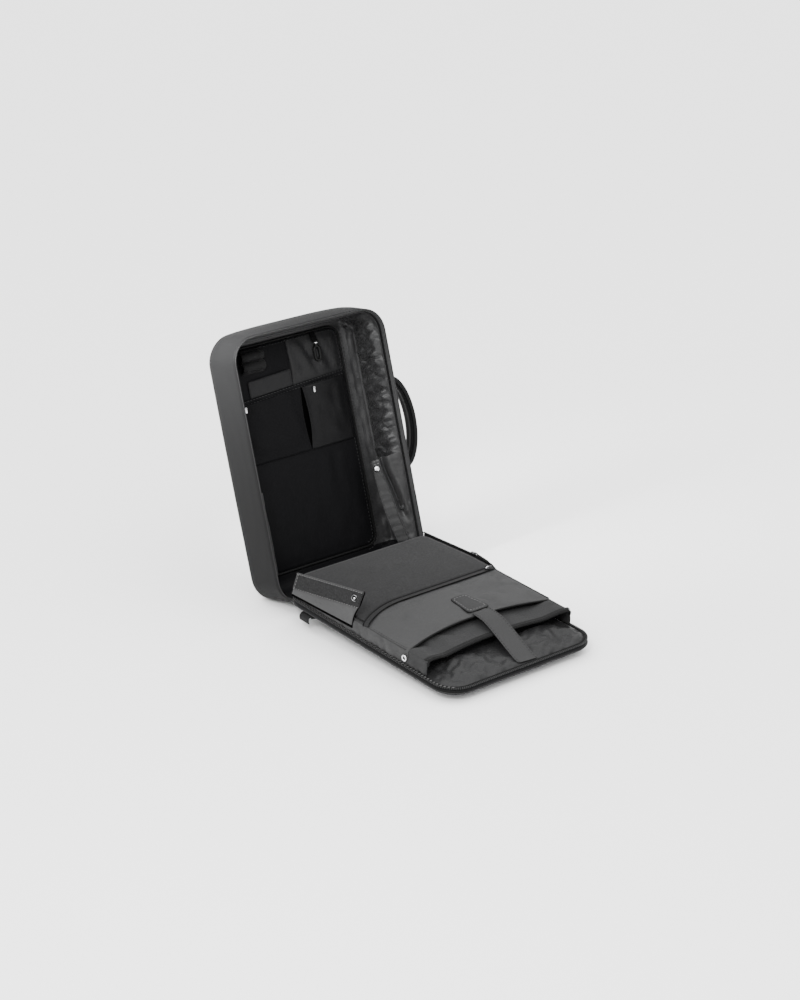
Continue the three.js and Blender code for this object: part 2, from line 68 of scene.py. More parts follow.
# Tolerances and the number of sides of a round cord
MERGE = 1e-4
PARALLEL = 0.999
FACING = 0.95
SIDES = 8

Triple = tuple[float, float, float]
Color = Triple
Point = tuple[float, float]
Edges = tuple[float, float, float, float]

# Directions of a drawing laid on a half: up, and facing its right or left side
UP = Vector((0, 0, 1))
FACING_RIGHT = Matrix(((0, 0, 1, 0), (1, 0, 0, 0), (0, 1, 0, 0), (0, 0, 0, 1)))
FACING_LEFT = Matrix(((0, 0, -1, 0), (1, 0, 0, 0), (0, 1, 0, 0), (0, 0, 0, 1)))


def shift(x: float, y: float, z: float) -> Matrix:
    """A move by three distances."""
    return Matrix.Translation((x, y, z))


def turn_by(degrees: float, axis: str) -> Matrix:
    """A turn about an axis."""
    return Matrix.Rotation(math.radians(degrees), 4, axis)


class Place(Enum):
    """The half of the open bag that a piece belongs to: its origin and its turn about the hinge."""

    SHELL = ((-25.15, 107.387, 35.196), -16.6)
    LID = ((-25.15, 107.387, 33.196), 2.8)

    @property
    def matrix(self) -> Matrix:
        """Turns the half's own millimetres into the part's metres."""
        origin, turn = self.value
        return Matrix.Scale(MM, 4) @ shift(*origin) @ turn_by(turn, "X")


SHELL = Place.SHELL.matrix
LID = Place.LID.matrix


def upright(front: float) -> Matrix:
    """The place of a panel drawn flat that stands parallel to the shell's mouth."""
    return SHELL @ shift(0, front, 0) @ turn_by(90.0, "X")


def level(height: float) -> Matrix:
    """The place of a panel drawn flat that lies at a height on the lid."""
    return LID @ shift(0, 0, height)


# Finishes


class NodeBoard:
    """A material's node tree with short ways to add and join nodes."""

    def __init__(self, name: str) -> None:
        """Starts a material that holds one shader."""
        self.material: Material = bpy.data.materials.new(name)
        self.material.use_nodes = True
        self.tree = self.material.node_tree
        self.shader: Node = self.tree.nodes["Principled BSDF"]
        self.object: NodeSocket = self.add("ShaderNodeTexCoord").outputs["Object"]

    def add(self, kind: str, **settings: object) -> Node:
        """Adds a node and sets its properties."""
        node = self.tree.nodes.new(kind)
        for key, value in settings.items():
            setattr(node, key, value)
        return node

    def join(self, source: NodeSocket, node: Node, target: str | int) -> None:
        """Links an output to a named or numbered input."""
        self.tree.links.new(source, node.inputs[target])

    def math(self, operation: str, first: NodeSocket, second: NodeSocket | float) -> NodeSocket:
        """Joins two values, or a value and a number, by a sum."""
        node = self.add("ShaderNodeMath", operation=operation)
        self.join(first, node, 0)
        if isinstance(second, float):
            node.inputs[1].default_value = second
        else:
            self.join(second, node, 1)
        return node.outputs[0]

    def noise(self, size: float, detail: float, twist: float = 0.0) -> NodeSocket:
        """Cloudy noise of a size in millimetres, from 0 to 1."""
        node = self.add("ShaderNodeTexNoise")
        node.inputs["Scale"].default_value = 1.0 / (size * MM)
        node.inputs["Detail"].default_value = detail
        node.inputs["Distortion"].default_value = twist
        self.join(self.object, node, "Vector")
        return node.outputs[0]

    def bands(self, period: float, turn: Color) -> NodeSocket:
        """Threads at a period in millimetres, turned by degrees, from 0 to 1."""
        mapping = self.add("ShaderNodeMapping")
        mapping.inputs["Rotation"].default_value = [math.radians(angle) for angle in turn]
        self.join(self.object, mapping, "Vector")
        wave = self.add("ShaderNodeTexWave", bands_direction="X")
        wave.inputs["Scale"].default_value = 1.0 / (period * MM) / 20.0 * math.tau
        wave.inputs["Distortion"].default_value = 0.6
        wave.inputs["Detail"].default_value = 1.0
        self.join(mapping.outputs[0], wave, "Vector")
        return wave.outputs["Fac"]

    def tint(self, factor: NodeSocket, dark: Color, light: Color) -> None:
        """Colours the shader between a dark and a light tone."""
        mix = self.add("ShaderNodeMix", data_type="RGBA")
        mix.inputs["A"].default_value = (*dark, 1.0)
        mix.inputs["B"].default_value = (*light, 1.0)
        self.join(factor, mix, "Factor")
        self.join(mix.outputs["Result"], self.shader, "Base Color")

    def rough(self, factor: NodeSocket, low: float, high: float) -> None:
        """Varies the shader's roughness."""
        span = self.add("ShaderNodeMapRange")
        span.inputs["To Min"].default_value = low
        span.inputs["To Max"].default_value = high
        self.join(factor, span, "Value")
        self.join(span.outputs[0], self.shader, "Roughness")

    def relief(self, height: NodeSocket, strength: float, distance: float) -> None:
        """Raises the surface by a height of up to a distance in millimetres."""
        bump = self.add("ShaderNodeBump")
        bump.inputs["Strength"].default_value = strength
        bump.inputs["Distance"].default_value = distance * MM
        self.join(height, bump, "Height")
        self.join(bump.outputs[0], self.shader, "Normal")


MADE: dict[str, Material] = {}

# Sizes of the finishes' patterns, in millimetres
CLOUDS = 38.0
CREASING = 9.0
BRUSHING = 0.7
GRAIN = 0.6


@dataclass(frozen=True)
class Finish:
    """What a piece is made of."""

    name: str
    slot: str
    color: Color

    def material(self) -> Material:
        """The finish's material, made once."""
        if self.name not in MADE:
            board = NodeBoard(self.name)
            self.paint(board)
            MADE[self.name] = board.material
        return MADE[self.name]

    def toned(self, share: float) -> Color:
        """The finish's colour times a share."""
        return tuple(channel * share for channel in self.color)

    def paint(self, board: NodeBoard) -> None:
        """Adds the finish's nodes to its material."""
        raise NotImplementedError


@dataclass(frozen=True)
class Cloth(Finish):
    """A woven, coated or brushed cloth."""

    roughness: float = 0.8
    spread: float = 0.25
    clouds: float = 0.6
    specks: float = 0.4
    speck_size: float = 0.9
    thread: float = 0.5
    weave: float = 0.16
    crinkle: float = 0.0
    sheen: float = 0.02
    gloss: float = 0.12

    def paint(self, board: NodeBoard) -> None:
        """Adds clouds and specks of colour, crossing threads and fine creases."""
        clouds = board.noise(CLOUDS, 3.0)
        specks = board.noise(self.speck_size, 1.0)
        share = board.math("MULTIPLY", clouds, self.clouds)
        fine = board.math("MULTIPLY", specks, self.specks)
        factor = board.math("ADD", share, fine)
        board.tint(factor, self.toned(1 - self.spread), self.toned(1 + self.spread))
        board.rough(clouds, self.roughness - 0.08, self.roughness + 0.08)
        warp = board.bands(self.thread, (0, 0, 0))
        weft = board.bands(self.thread, (0, 45, 90))
        threads = board.math("MULTIPLY", warp, weft)
        height = board.math("ADD", threads, specks)
        if self.crinkle > 0:
            creases = board.noise(CREASING, 4.0, 1.4)
            height = board.math("ADD", height, board.math("MULTIPLY", creases, self.crinkle))
        board.relief(height, self.weave, 0.5)
        inputs = board.shader.inputs
        inputs["Sheen Weight"].default_value = self.sheen
        inputs["Sheen Roughness"].default_value = 0.5
        inputs["Specular IOR Level"].default_value = self.gloss


@dataclass(frozen=True)
class Metal(Finish):
    """Pressed bright metal with fine brushing."""

    roughness: float = 0.28

    def paint(self, board: NodeBoard) -> None:
        """Adds the brushing."""
        brushed = board.noise(BRUSHING, 2.0, 0.4)
        board.tint(brushed, self.toned(0.85), self.color)
        board.rough(brushed, self.roughness - 0.08, self.roughness + 0.1)
        board.relief(brushed, 0.1, 0.1)
        board.shader.inputs["Metallic"].default_value = 1.0


@dataclass(frozen=True)
class Plastic(Finish):
    """Moulded plastic with a fine grain."""

    roughness: float = 0.4
    gloss: float = 0.3

    def paint(self, board: NodeBoard) -> None:
        """Adds the grain."""
        grain = board.noise(GRAIN, 2.0)
        board.tint(grain, self.toned(0.8), self.color)
        board.rough(grain, self.roughness - 0.06, self.roughness + 0.1)
        board.relief(grain, 0.15, 0.15)
        board.shader.inputs["Specular IOR Level"].default_value = self.gloss

COATED = Cloth(
    "coated cloth", "coated_cloth", (0.0085, 0.0085, 0.0087), 0.62, 0.18, weave=0.14, sheen=0.01, gloss=0.05
)
# A lighter copy of the coated cloth for the rim bindings: painted highlight along the rim's edge
EDGE_PAINTED_HIGHLIGHT = Cloth("coated edge painted highlight", "coated_cloth", (0.017, 0.017, 0.0173), 0.5, 0.18, weave=0.12, gloss=0.08)
# A lighter copy of the coated cloth for the shell's rim flap: painted light that lifts the flap out of the
# shade it faces
FLAP_PAINTED_LIGHT = Cloth("rim flap painted light", "coated_cloth", (0.026, 0.026, 0.0264), 0.55, 0.25, weave=0.2, gloss=0.1)
# A darker copy of the coated cloth for the lid board: partly the back panel's own darker cloth, partly
# painted shade on the board's edges
LID_CLOTH_AND_SHADE = Cloth("lid cloth and painted shade", "coated_cloth", (0.0042, 0.0042, 0.0044), 0.6, 0.2, weave=0.2, gloss=0.05)
LINING = Cloth(
    "nylon lining", "lining_cloth", (0.021, 0.021, 0.0215), 0.42, 0.22, weave=0.12, crinkle=0.45, gloss=0.24
)
LID_LINING = Cloth(
    "lid lining", "lining_cloth", (0.0082, 0.0082, 0.0085), 0.46, 0.22, crinkle=0.4, gloss=0.19
)
WING_CLOTH = Cloth("wing cloth", "lining_cloth", (0.0185, 0.0185, 0.0188), 0.46, 0.2, crinkle=0.4, gloss=0.22)
LID_WING_CLOTH = Cloth("lid wing cloth", "lining_cloth", (0.037, 0.037, 0.0374), 0.6, 0.16, crinkle=0.2)
WING_HEM = Cloth("wing hem", "lining_cloth", (0.024, 0.024, 0.0243), 0.6, 0.2)
DARK = Cloth("dark cloth", "dark_cloth", (0.0032, 0.0032, 0.0036), 0.6, 0.3, sheen=0.01, gloss=0.05)
POUCH = Cloth("pouch cloth", "dark_cloth", (0.003, 0.003, 0.0033), 0.46, 0.3, sheen=0.01, gloss=0.12)
PANEL = Cloth("panel cloth", "dark_cloth", (0.0062, 0.0062, 0.0066), 0.46, 0.25, gloss=0.17)
PATCH = Cloth("patch cloth", "dark_cloth", (0.0088, 0.0088, 0.0092), 0.6, 0.2)
GRIP = Cloth("grip cloth", "dark_cloth", (0.0032, 0.0032, 0.0034), 0.5, 0.25, thread=0.8, gloss=0.1)
POCKET = Cloth("pocket cloth", "pocket_cloth", (0.0275, 0.0275, 0.0278), 0.58, 0.16, crinkle=0.32)
SLEEVE = Cloth("sleeve cloth", "pocket_cloth", (0.0165, 0.0165, 0.0168), 0.6, 0.18, crinkle=0.25, gloss=0.1)
FELT = Cloth("felt", "felt_cloth", (0.0165, 0.0165, 0.0168), 0.92, 0.6, 0.2, 0.8, 2.6, sheen=0.03, gloss=0.05)
LOOP_STRIP = Cloth(
    "loop strip", "felt_cloth", (0.0145, 0.0145, 0.0147), 0.95, 0.9, 0.2, 0.8, 3.0, weave=0.3, gloss=0.04
)
TAB = Cloth("tab cloth", "webbing", (0.0176, 0.0176, 0.0179), 0.6, 0.16)
BAND = Cloth("woven band", "webbing", (0.022, 0.022, 0.0223), 0.65, 0.2, weave=0.3, thread=0.8)
DARK_BAND = Cloth("dark band", "webbing", (0.004, 0.004, 0.0042), 0.65, 0.2, weave=0.4, thread=0.8)
ELASTIC = Cloth("elastic band", "webbing", (0.005, 0.005, 0.0052), 0.7, 0.2, weave=0.4, thread=0.8)
THREAD = Cloth("thread", "webbing", (0.1, 0.1, 0.1), 0.6, 0.2)
WING_THREAD = Cloth("wing thread", "lining_cloth", (0.075, 0.075, 0.075), 0.6, 0.2)
DARK_THREAD = Cloth("dark thread", "dark_cloth", (0.022, 0.022, 0.0225), 0.6, 0.2)
TAPE = Cloth("zip tape", "zip_tape", (0.0026, 0.0026, 0.0027), 0.7, 0.2, weave=0.3, thread=0.8, gloss=0.04)
# Near-black cloth with no gloss, used as painted shade where there is only shadow: the slit between the
# pockets, the lid wing's foot and far edge, the ring snap's hollow core
PAINTED_SHADE = Cloth("painted shade", "zip_tape", (0.0008, 0.0008, 0.0008), 0.9, 0.2, sheen=0.0, gloss=0.0)
ZIP_BAND = Cloth(
    "zip band", "zip_tape", (0.0082, 0.0082, 0.0084), 0.6, 0.2, weave=0.3, thread=0.8, gloss=0.12
)
RIM_TAPE = Cloth(
    "rim tape", "zip_tape", (0.02, 0.02, 0.0203), 0.65, 0.4, 0.3, 0.7, 1.3, weave=0.4, thread=0.9, gloss=0.08
)
PIPING = Cloth("piping", "zip_tape", (0.0036, 0.0036, 0.0037), 0.55, 0.2, gloss=0.08)
TEETH = Plastic("zip teeth", "zip_tape", (0.003, 0.003, 0.0031), 0.5)
COIL = Plastic("zip coil", "zip_tape", (0.0095, 0.0095, 0.0097), 0.5)
PLASTIC = Plastic("black plastic", "black_plastic", (0.0028, 0.0028, 0.0028), 0.4, 0.15)
STEEL = Metal("pressed steel", "steel", (0.82, 0.82, 0.83))
RING_METAL = Metal("ring metal", "steel", (0.42, 0.42, 0.43), 0.3)
GUNMETAL = Metal("dark metal", "steel", (0.08, 0.08, 0.082), 0.24)


# Making of pieces


def make_piece(
    name: str,
    bm: BMesh,
    matrix: Matrix,
    finish: Finish,
    replaces: Sequence[str] = (),
    sharp: float = 40.0,
) -> Object:
    """Turns a finished bmesh into a piece that rides on the bag.

    Args:
        name: The piece's name.
        bm: The mesh, which is used up.
        matrix: From the mesh's own millimetres to the part's metres.
        finish: The piece's finish.
        replaces: Frame nodes that the piece stands for.
        sharp: Edges that turn by more degrees than this are shaded sharp.

    Returns:
        The piece's object.
    """
    bmesh.ops.transform(bm, matrix=matrix, verts=bm.verts)
    mesh = bpy.data.meshes.new(name)
    bm.to_mesh(mesh)
    bm.free()
    mesh.materials.append(finish.material())
    mesh.shade_smooth()
    mesh.set_sharp_from_angle(angle=math.radians(sharp))
    piece = bpy.data.objects.new(name, mesh)
    bpy.context.scene.collection.objects.link(piece)
    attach(piece, BODY)
    if replaces:
        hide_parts(*replaces)
    LOG.info("%s: %d faces", name, len(mesh.polygons))
    return piece


def thicken(piece: Object, thickness: float) -> Object:
    """Gives a sheet its thickness in millimetres, behind its faces."""
    modifier = piece.modifiers.new("thickness", "SOLIDIFY")
    modifier.thickness = thickness * MM
    modifier.offset = -1.0
    return piece


def soften(piece: Object) -> Object:
    """Rounds a piece by one subdivision."""
    modifier = piece.modifiers.new("soft", "SUBSURF")
    modifier.levels = 1
    modifier.render_levels = 1
    return piece


def facing_out(bm: BMesh) -> BMesh:
    """Merges doubles and turns a closed mesh's faces outwards."""
    bmesh.ops.remove_doubles(bm, verts=bm.verts, dist=MERGE)
    bmesh.ops.recalc_face_normals(bm, faces=bm.faces)
    return bm


def round_edges(bm: BMesh, edges: Iterable[BMEdge], radius: float, segments: int) -> None:
    """Rounds edges with the bevel operator."""
    bmesh.ops.bevel(
        bm, geom=list(edges), offset=radius, offset_type="OFFSET", segments=segments,
        profile=0.5, affect="EDGES", material=-1, clamp_overlap=True,
    )


def slice_grid(bm: BMesh, axis: int, low: float, high: float, spacing: float) -> None:
    """Cuts a mesh by even planes, so that its flat faces can be shaped.

    Args:
        bm: The mesh.
        axis: The planes' direction, 0 for X to 2 for Z.
        low: Place of the first plane.
        high: The planes stop before this place.
        spacing: Distance between planes.
    """
    normal = Vector((0, 0, 0))
    normal[axis] = 1.0
    steps = max(1, round((high - low) / spacing))
    for step in range(1, steps):
        place = normal * (low + (high - low) * step / steps)
        everything = [*bm.verts, *bm.edges, *bm.faces]
        bmesh.ops.bisect_plane(bm, geom=everything, dist=MERGE, plane_co=place, plane_no=normal)


def block(low: Sequence[float], high: Sequence[float]) -> BMesh:
    """A block between two corners."""
    bm = bmesh.new()
    lowest = Vector(low)
    highest = Vector(high)
    made = bmesh.ops.create_cube(bm, size=1.0)["verts"]
    bmesh.ops.scale(bm, vec=highest - lowest, verts=made)
    bmesh.ops.translate(bm, vec=(highest + lowest) / 2, verts=made)
    return bm


def edges_along(bm: BMesh, axis: int, keep: Callable[[Vector], bool] = lambda _: True) -> list[BMEdge]:
    """The edges that run along an axis and whose middle passes a test."""
    found = []
    for edge in bm.edges:
        first, second = (vert.co for vert in edge.verts)
        run = (second - first).normalized()
        if abs(run[axis]) > PARALLEL and keep((first + second) / 2):
            found.append(edge)
    return found


def faces_towards(bm: BMesh, direction: Sequence[float]) -> list[BMFace]:
    """The faces that look along a direction."""
    bm.normal_update()
    aim = Vector(direction)
    return [face for face in bm.faces if face.normal.dot(aim) > FACING]


def border_of(faces: Iterable[BMFace]) -> list[BMEdge]:
    """The edges at which a set of faces meets other faces."""
    chosen = set(faces)
    return [
        edge
        for edge in {edge for face in chosen for edge in face.edges}
        if sum(face in chosen for face in edge.link_faces) == 1 and len(edge.link_faces) == 2
    ]


def panel(left: float, right: float, low: float, high: float, spacing: float) -> BMesh:
    """A flat grid in the XY plane, with faces of about the spacing."""
    bm = bmesh.new()
    columns = max(2, round((right - left) / spacing))
    rows = max(2, round((high - low) / spacing))
    made = bmesh.ops.create_grid(bm, x_segments=columns, y_segments=rows, size=0.5)["verts"]
    bmesh.ops.scale(bm, vec=(right - left, high - low, 1.0), verts=made)
    bmesh.ops.translate(bm, vec=((left + right) / 2, (low + high) / 2, 0.0), verts=made)
    return bm


def outline_of(left: float, right: float, low: float, high: float, radius: float) -> list[Point]:
    """Points of a rectangle with round corners, anticlockwise from its lower right corner."""
    steps = 10
    centres = (
        (right - radius, low + radius, -90),
        (right - radius, high - radius, 0),
        (left + radius, high - radius, 90),
        (left + radius, low + radius, 180),
    )
    points = []
    for x, y, start in centres:
        for step in range(steps + 1):
            angle = math.radians(start + 90 * step / steps)
            points.append((x + radius * math.cos(angle), y + radius * math.sin(angle)))
    return points


def trim(bm: BMesh, outline: Sequence[Point]) -> None:
    """Cuts a flat grid back to a convex outline, given anticlockwise."""
    for first, second in zip(outline, [*outline[1:], outline[0]]):
        run = Vector((second[0] - first[0], second[1] - first[1], 0))
        if run.length < 1e-6:
            continue
        outward = Vector((run.y, -run.x, 0)).normalized()
        everything = [*bm.verts, *bm.edges, *bm.faces]
        bmesh.ops.bisect_plane(
            bm, geom=everything, dist=MERGE, plane_co=(*first, 0), plane_no=outward, clear_outer=True
        )


@dataclass(frozen=True)
class Creases:
    """Soft folds in a cloth, as a height over its flat place."""

    depth: float
    size: Point
    seed: float

    def height(self, x: float, y: float) -> float:
        """The height of the folds at a place, from 0 to the depth."""
        here = Vector((x / self.size[0], y / self.size[1], self.seed))
        value = noise.fractal(here, 0.9, 2.1, 3)
        return self.depth * min(1.0, max(0.0, 0.5 + 0.7 * value))


def lift(bm: BMesh, height: Callable[[BMVert], float]) -> None:
    """Moves each point along its normal by a height of its own."""
    bm.normal_update()
    moves = [(vert, vert.normal * height(vert)) for vert in bm.verts]
    for vert, move in moves:
        vert.co += move


def raise_flat(bm: BMesh, height: Callable[[float, float], float]) -> None:
    """Moves each point of a flat grid along Z by a height that depends on its X and Y."""
    for vert in bm.verts:
        vert.co.z += height(vert.co.x, vert.co.y)


def ease(value: float, low: float, high: float) -> float:
    """Runs smoothly from 0 at one value to 1 at another."""
    share = min(1.0, max(0.0, (value - low) / (high - low)))
    return share * share * (3 - 2 * share)


def resample(points: Sequence[Vector], spacing: float) -> list[Vector]:
    """Points at an even spacing along a line.

    Args:
        points: The line's own points.
        spacing: About how far apart the new points are.

    Returns:
        The new points, from the line's start to its end.
    """
    lengths = [0.0]
    for first, second in zip(points, points[1:]):
        lengths.append(lengths[-1] + (second - first).length)
    count = max(1, round(lengths[-1] / spacing))
    made = []
    at = 0
    for step in range(count + 1):
        want = lengths[-1] * step / count
        while at < len(points) - 2 and lengths[at + 1] < want:
            at += 1
        run = max(1e-9, lengths[at + 1] - lengths[at])
        made.append(points[at].lerp(points[at + 1], (want - lengths[at]) / run))
    return made


def stations(points: Sequence[Vector], up: Vector, closed: bool = False) -> list[Matrix]:
    """Frames along a line: X to its side, Y along up and Z along the line.

    Args:
        points: The line's points.
        up: A direction square to the line.
        closed: Whether the last point joins the first.

    Returns:
        One matrix for each point.
    """
    made = []
    count = len(points)
    for index, point in enumerate(points):
        before = points[index - 1] if index or closed else point
        after = points[(index + 1) % count] if index < count - 1 or closed else point
        run = (after - before).normalized()
        side = up.cross(run).normalized()
        top = run.cross(side)
        basis = Matrix((side, top, run)).transposed().to_4x4()
        made.append(Matrix.Translation(point) @ basis)
    return made


def sweep(bm: BMesh, profile: Sequence[Point], route: Sequence[Matrix], closed: bool = False) -> None:
    """Extrudes a closed profile from frame to frame along a route.

    Args:
        bm: The mesh to add to.
        profile: The profile's corners, in each frame's X and Y.
        route: The frames.
        closed: Whether the route ends where it starts.
    """
    ring = [bm.verts.new(route[0] @ Vector((x, y, 0))) for x, y in profile]
    first = [bm.edges.new(pair) for pair in zip(ring, [*ring[1:], ring[0]])]
    edges = list(first)
    frames = [*route, route[0]] if closed else list(route)
    for before, after in zip(frames, frames[1:]):
        made = bmesh.ops.extrude_edge_only(bm, edges=edges)["geom"]
        verts = [item for item in made if isinstance(item, BMVert)]
        fresh = set(verts)
        edges = [item for item in made if isinstance(item, BMEdge) and fresh.issuperset(item.verts)]
        bmesh.ops.transform(bm, matrix=after @ before.inverted(), verts=verts)
    if not closed:
        bmesh.ops.edgeloop_fill(bm, edges=first)
        bmesh.ops.edgeloop_fill(bm, edges=edges)
    facing_out(bm)


def round_profile(radius: float, sides: int, centre: Point = (0.0, 0.0)) -> list[Point]:
    """Corners of a round profile."""
    angles = [math.tau * side / sides for side in range(sides)]
    return [(centre[0] + radius * math.cos(a), centre[1] + radius * math.sin(a)) for a in angles]


def flat_profile(left: float, right: float, low: float, high: float) -> list[Point]:
    """Corners of a flat band's profile, with its edges rounded off."""
    edge = (high - low) * 0.3
    return [
        (left + edge, low), (right - edge, low), (right, low + edge), (right, high - edge),
        (right - edge, high), (left + edge, high), (left, high - edge), (left, low + edge),
    ]


def lathe(profile: Sequence[Point], steps: int = 28) -> BMesh:
    """A profile of radius and height pairs, spun about the Z axis."""
    bm = bmesh.new()
    verts = [bm.verts.new((radius, 0.0, height)) for radius, height in profile]
    edges = [bm.edges.new(pair) for pair in zip(verts, verts[1:])]
    geom = [*verts, *edges]
    spin = {"cent": (0, 0, 0), "axis": UP, "angle": math.tau, "use_merge": True}
    bmesh.ops.spin(bm, geom=geom, steps=steps, **spin)
    return facing_out(bm)


def plate(outline: Sequence[Point], thickness: float, edge: float) -> BMesh:
    """A flat plate of an outline, from Z = 0 up, with rounded edges."""
    bm = bmesh.new()
    verts = [bm.verts.new((x, y, 0.0)) for x, y in outline]
    bmesh.ops.contextual_create(bm, geom=verts)
    facing_out(bm)
    made = bmesh.ops.extrude_face_region(bm, geom=bm.faces[:])["geom"]
    raised = [item for item in made if isinstance(item, BMVert)]
    bmesh.ops.translate(bm, vec=(0, 0, thickness), verts=raised)
    facing_out(bm)
    loops = [e for e in bm.edges if abs(e.verts[0].co.z - e.verts[1].co.z) < 1e-6]
    round_edges(bm, loops, edge, 2)
    return bm
def join(bm: BMesh, other: BMesh) -> None:
    """Moves another mesh's geometry into a mesh."""
    copy = bpy.data.meshes.new("join")
    other.to_mesh(copy)
    other.free()
    bm.from_mesh(copy)
    bpy.data.meshes.remove(copy)


def rounded_block(
    low: Sequence[float], high: Sequence[float], corner: tuple[float, int], edge: tuple[float, int]
) -> BMesh:
    """A block with rounded edges.

    Args:
        low: Its lowest corner.
        high: Its highest corner.
        corner: Radius and segments of its upright edges.
        edge: Radius and segments of the edges of its upper and lower face.

    Returns:
        Its mesh.
    """
    bm = block(low, high)
    round_edges(bm, edges_along(bm, 2), *corner)
    faces = [*faces_towards(bm, UP), *faces_towards(bm, -UP)]
    round_edges(bm, border_of(faces), *edge)
    return bm


def shares(count: int) -> list[float]:
    """Even shares from 0 to 1."""
    return [step / count for step in range(count + 1)]


def at_height(outline: Iterable[Point], height: float = 0.0) -> list[Vector]:
    """The points of an outline at a height."""
    return [Vector((x, y, height)) for x, y in outline]


def along(line: Sequence[Vector], spacing: float, up: Vector = UP) -> list[Matrix]:
    """Frames at an even spacing along an open line."""
    return stations(resample(line, spacing), up)


def around(line: Sequence[Vector], spacing: float, up: Vector = UP) -> list[Matrix]:
    """Frames at an even spacing along a flat line that closes."""
    return stations(resample([*line, line[0]], spacing)[:-1], up, True)


def swept(
    name: str,
    profile: Sequence[Point],
    route: Sequence[Matrix],
    matrix: Matrix,
    finish: Finish,
    replaces: Sequence[str] = (),
    sharp: float = 40.0,
    closed: bool = False,
) -> Object:
    """Makes a piece of a profile that runs along a route."""
    bm = bmesh.new()
    sweep(bm, profile, route, closed)
    return make_piece(name, bm, matrix, finish, replaces, sharp)


def turned(
    name: str,
    profile: Sequence[Point],
    matrix: Matrix,
    finish: Finish,
    replaces: Sequence[str] = (),
    sharp: float = 60.0,
    steps: int = 28,
) -> Object:
    """Makes a piece of a profile that is spun about the matrix's Z axis."""
    bm = lathe(profile, steps)
    return make_piece(name, bm, matrix, finish, replaces, sharp)
@dataclass
class Stitching:
    """The stitches of one sub-assembly, sewn row by row and then made one piece."""

    name: str
    thread: Finish = THREAD
    length: float = 4.0
    pitch: float = 6.0
    radius: float = 0.6
    mesh: BMesh = field(default_factory=bmesh.new)

    def row(self, points: Sequence[Vector], matrix: Matrix) -> None:
        """Sews stitches along a line.

        Args:
            points: The line, in the matrix's own millimetres.
            matrix: From those millimetres to the part's metres.
        """
        line = resample(points, self.pitch)
        for first, second in zip(line, line[1:]):
            run = second - first
            turn = run.to_track_quat("X", "Z").to_matrix().to_4x4()
            size = Matrix.Diagonal((self.length / 2, self.radius, self.radius, 1.0))
            place = matrix @ Matrix.Translation((first + second) / 2) @ turn @ size
            bmesh.ops.create_icosphere(self.mesh, subdivisions=1, radius=1.0, matrix=place)

    def finish(self) -> Object:
        """Makes the piece."""
        return make_piece(self.name, self.mesh, Matrix.Identity(4), self.thread)


@dataclass(frozen=True)
class ClothRun:
    """How a cloth is settled by simulation: how much too large it is cut, and how far it may move."""

    growth: float
    bending: float = 2.0
    cap: float = 12.0
    pressure: float = 0.0
    backed: bool = False
    frames: int = 20
    quality: int = 8
    mass: float = 0.02
    stiffness: float = 150.0
    shear: float = 20.0
    damping: float = 1.0
    lowest: float = 0.2
    folded: float = 0.6

    def settle(self, piece: Object, matrix: Matrix, held: Callable[[Vector], float]) -> Object:
        """Runs Blender's cloth on a piece and keeps the result in its mesh.

        Args:
            piece: The piece, with no modifiers on it yet.
            matrix: From the cloth's own millimetres, with Z off its backing, to the part's metres.
            held: How firmly a place in those millimetres is held, from 0 to 1.

        Returns:
            The piece.
        """
        back = matrix.inverted()
        starts = [back @ vert.co for vert in piece.data.vertices]
        group = piece.vertex_groups.new(name="held")
        for index, start in enumerate(starts):
            group.add([index], held(start), "REPLACE")
        modifier = piece.modifiers.new("settle", "CLOTH")
        self.dress(modifier, group.name)
        scene = bpy.context.scene
        for number in range(1, self.frames + 1):
            scene.frame_set(number)
        graph = bpy.context.evaluated_depsgraph_get()
        moved = [back @ vert.co for vert in piece.evaluated_get(graph).data.vertices]
        piece.modifiers.remove(modifier)
        piece.vertex_groups.remove(group)
        for vert, start, target in zip(piece.data.vertices, starts, moved):
            move = target - start
            place = start + move * min(1.0, self.cap / max(move.length, 1e-9))
            if self.backed:
                # Cloth that went through its backing is folded to the front of it
                place.z = max(self.lowest, place.z, -self.folded * place.z)
            vert.co = matrix @ place
        scene.frame_set(1)
        piece.data.update()
        return piece

    def dress(self, modifier: bpy.types.ClothModifier, group: str) -> None:
        """Sets the simulation up for a light, stiff cloth held where a group of points is."""
        settings = modifier.settings
        settings.quality = self.quality
        settings.mass = self.mass
        settings.air_damping = self.damping
        settings.tension_stiffness = self.stiffness
        settings.compression_stiffness = self.stiffness
        settings.shear_stiffness = self.shear
        settings.bending_stiffness = self.bending
        settings.tension_damping = self.damping
        settings.compression_damping = self.damping
        settings.shrink_min = -self.growth
        settings.use_pressure = self.pressure > 0
        settings.uniform_pressure_force = self.pressure
        settings.vertex_group_mass = group
        settings.effector_weights.gravity = 0.0
        modifier.collision_settings.use_collision = False
        modifier.point_cache.frame_end = self.frames


# Shell


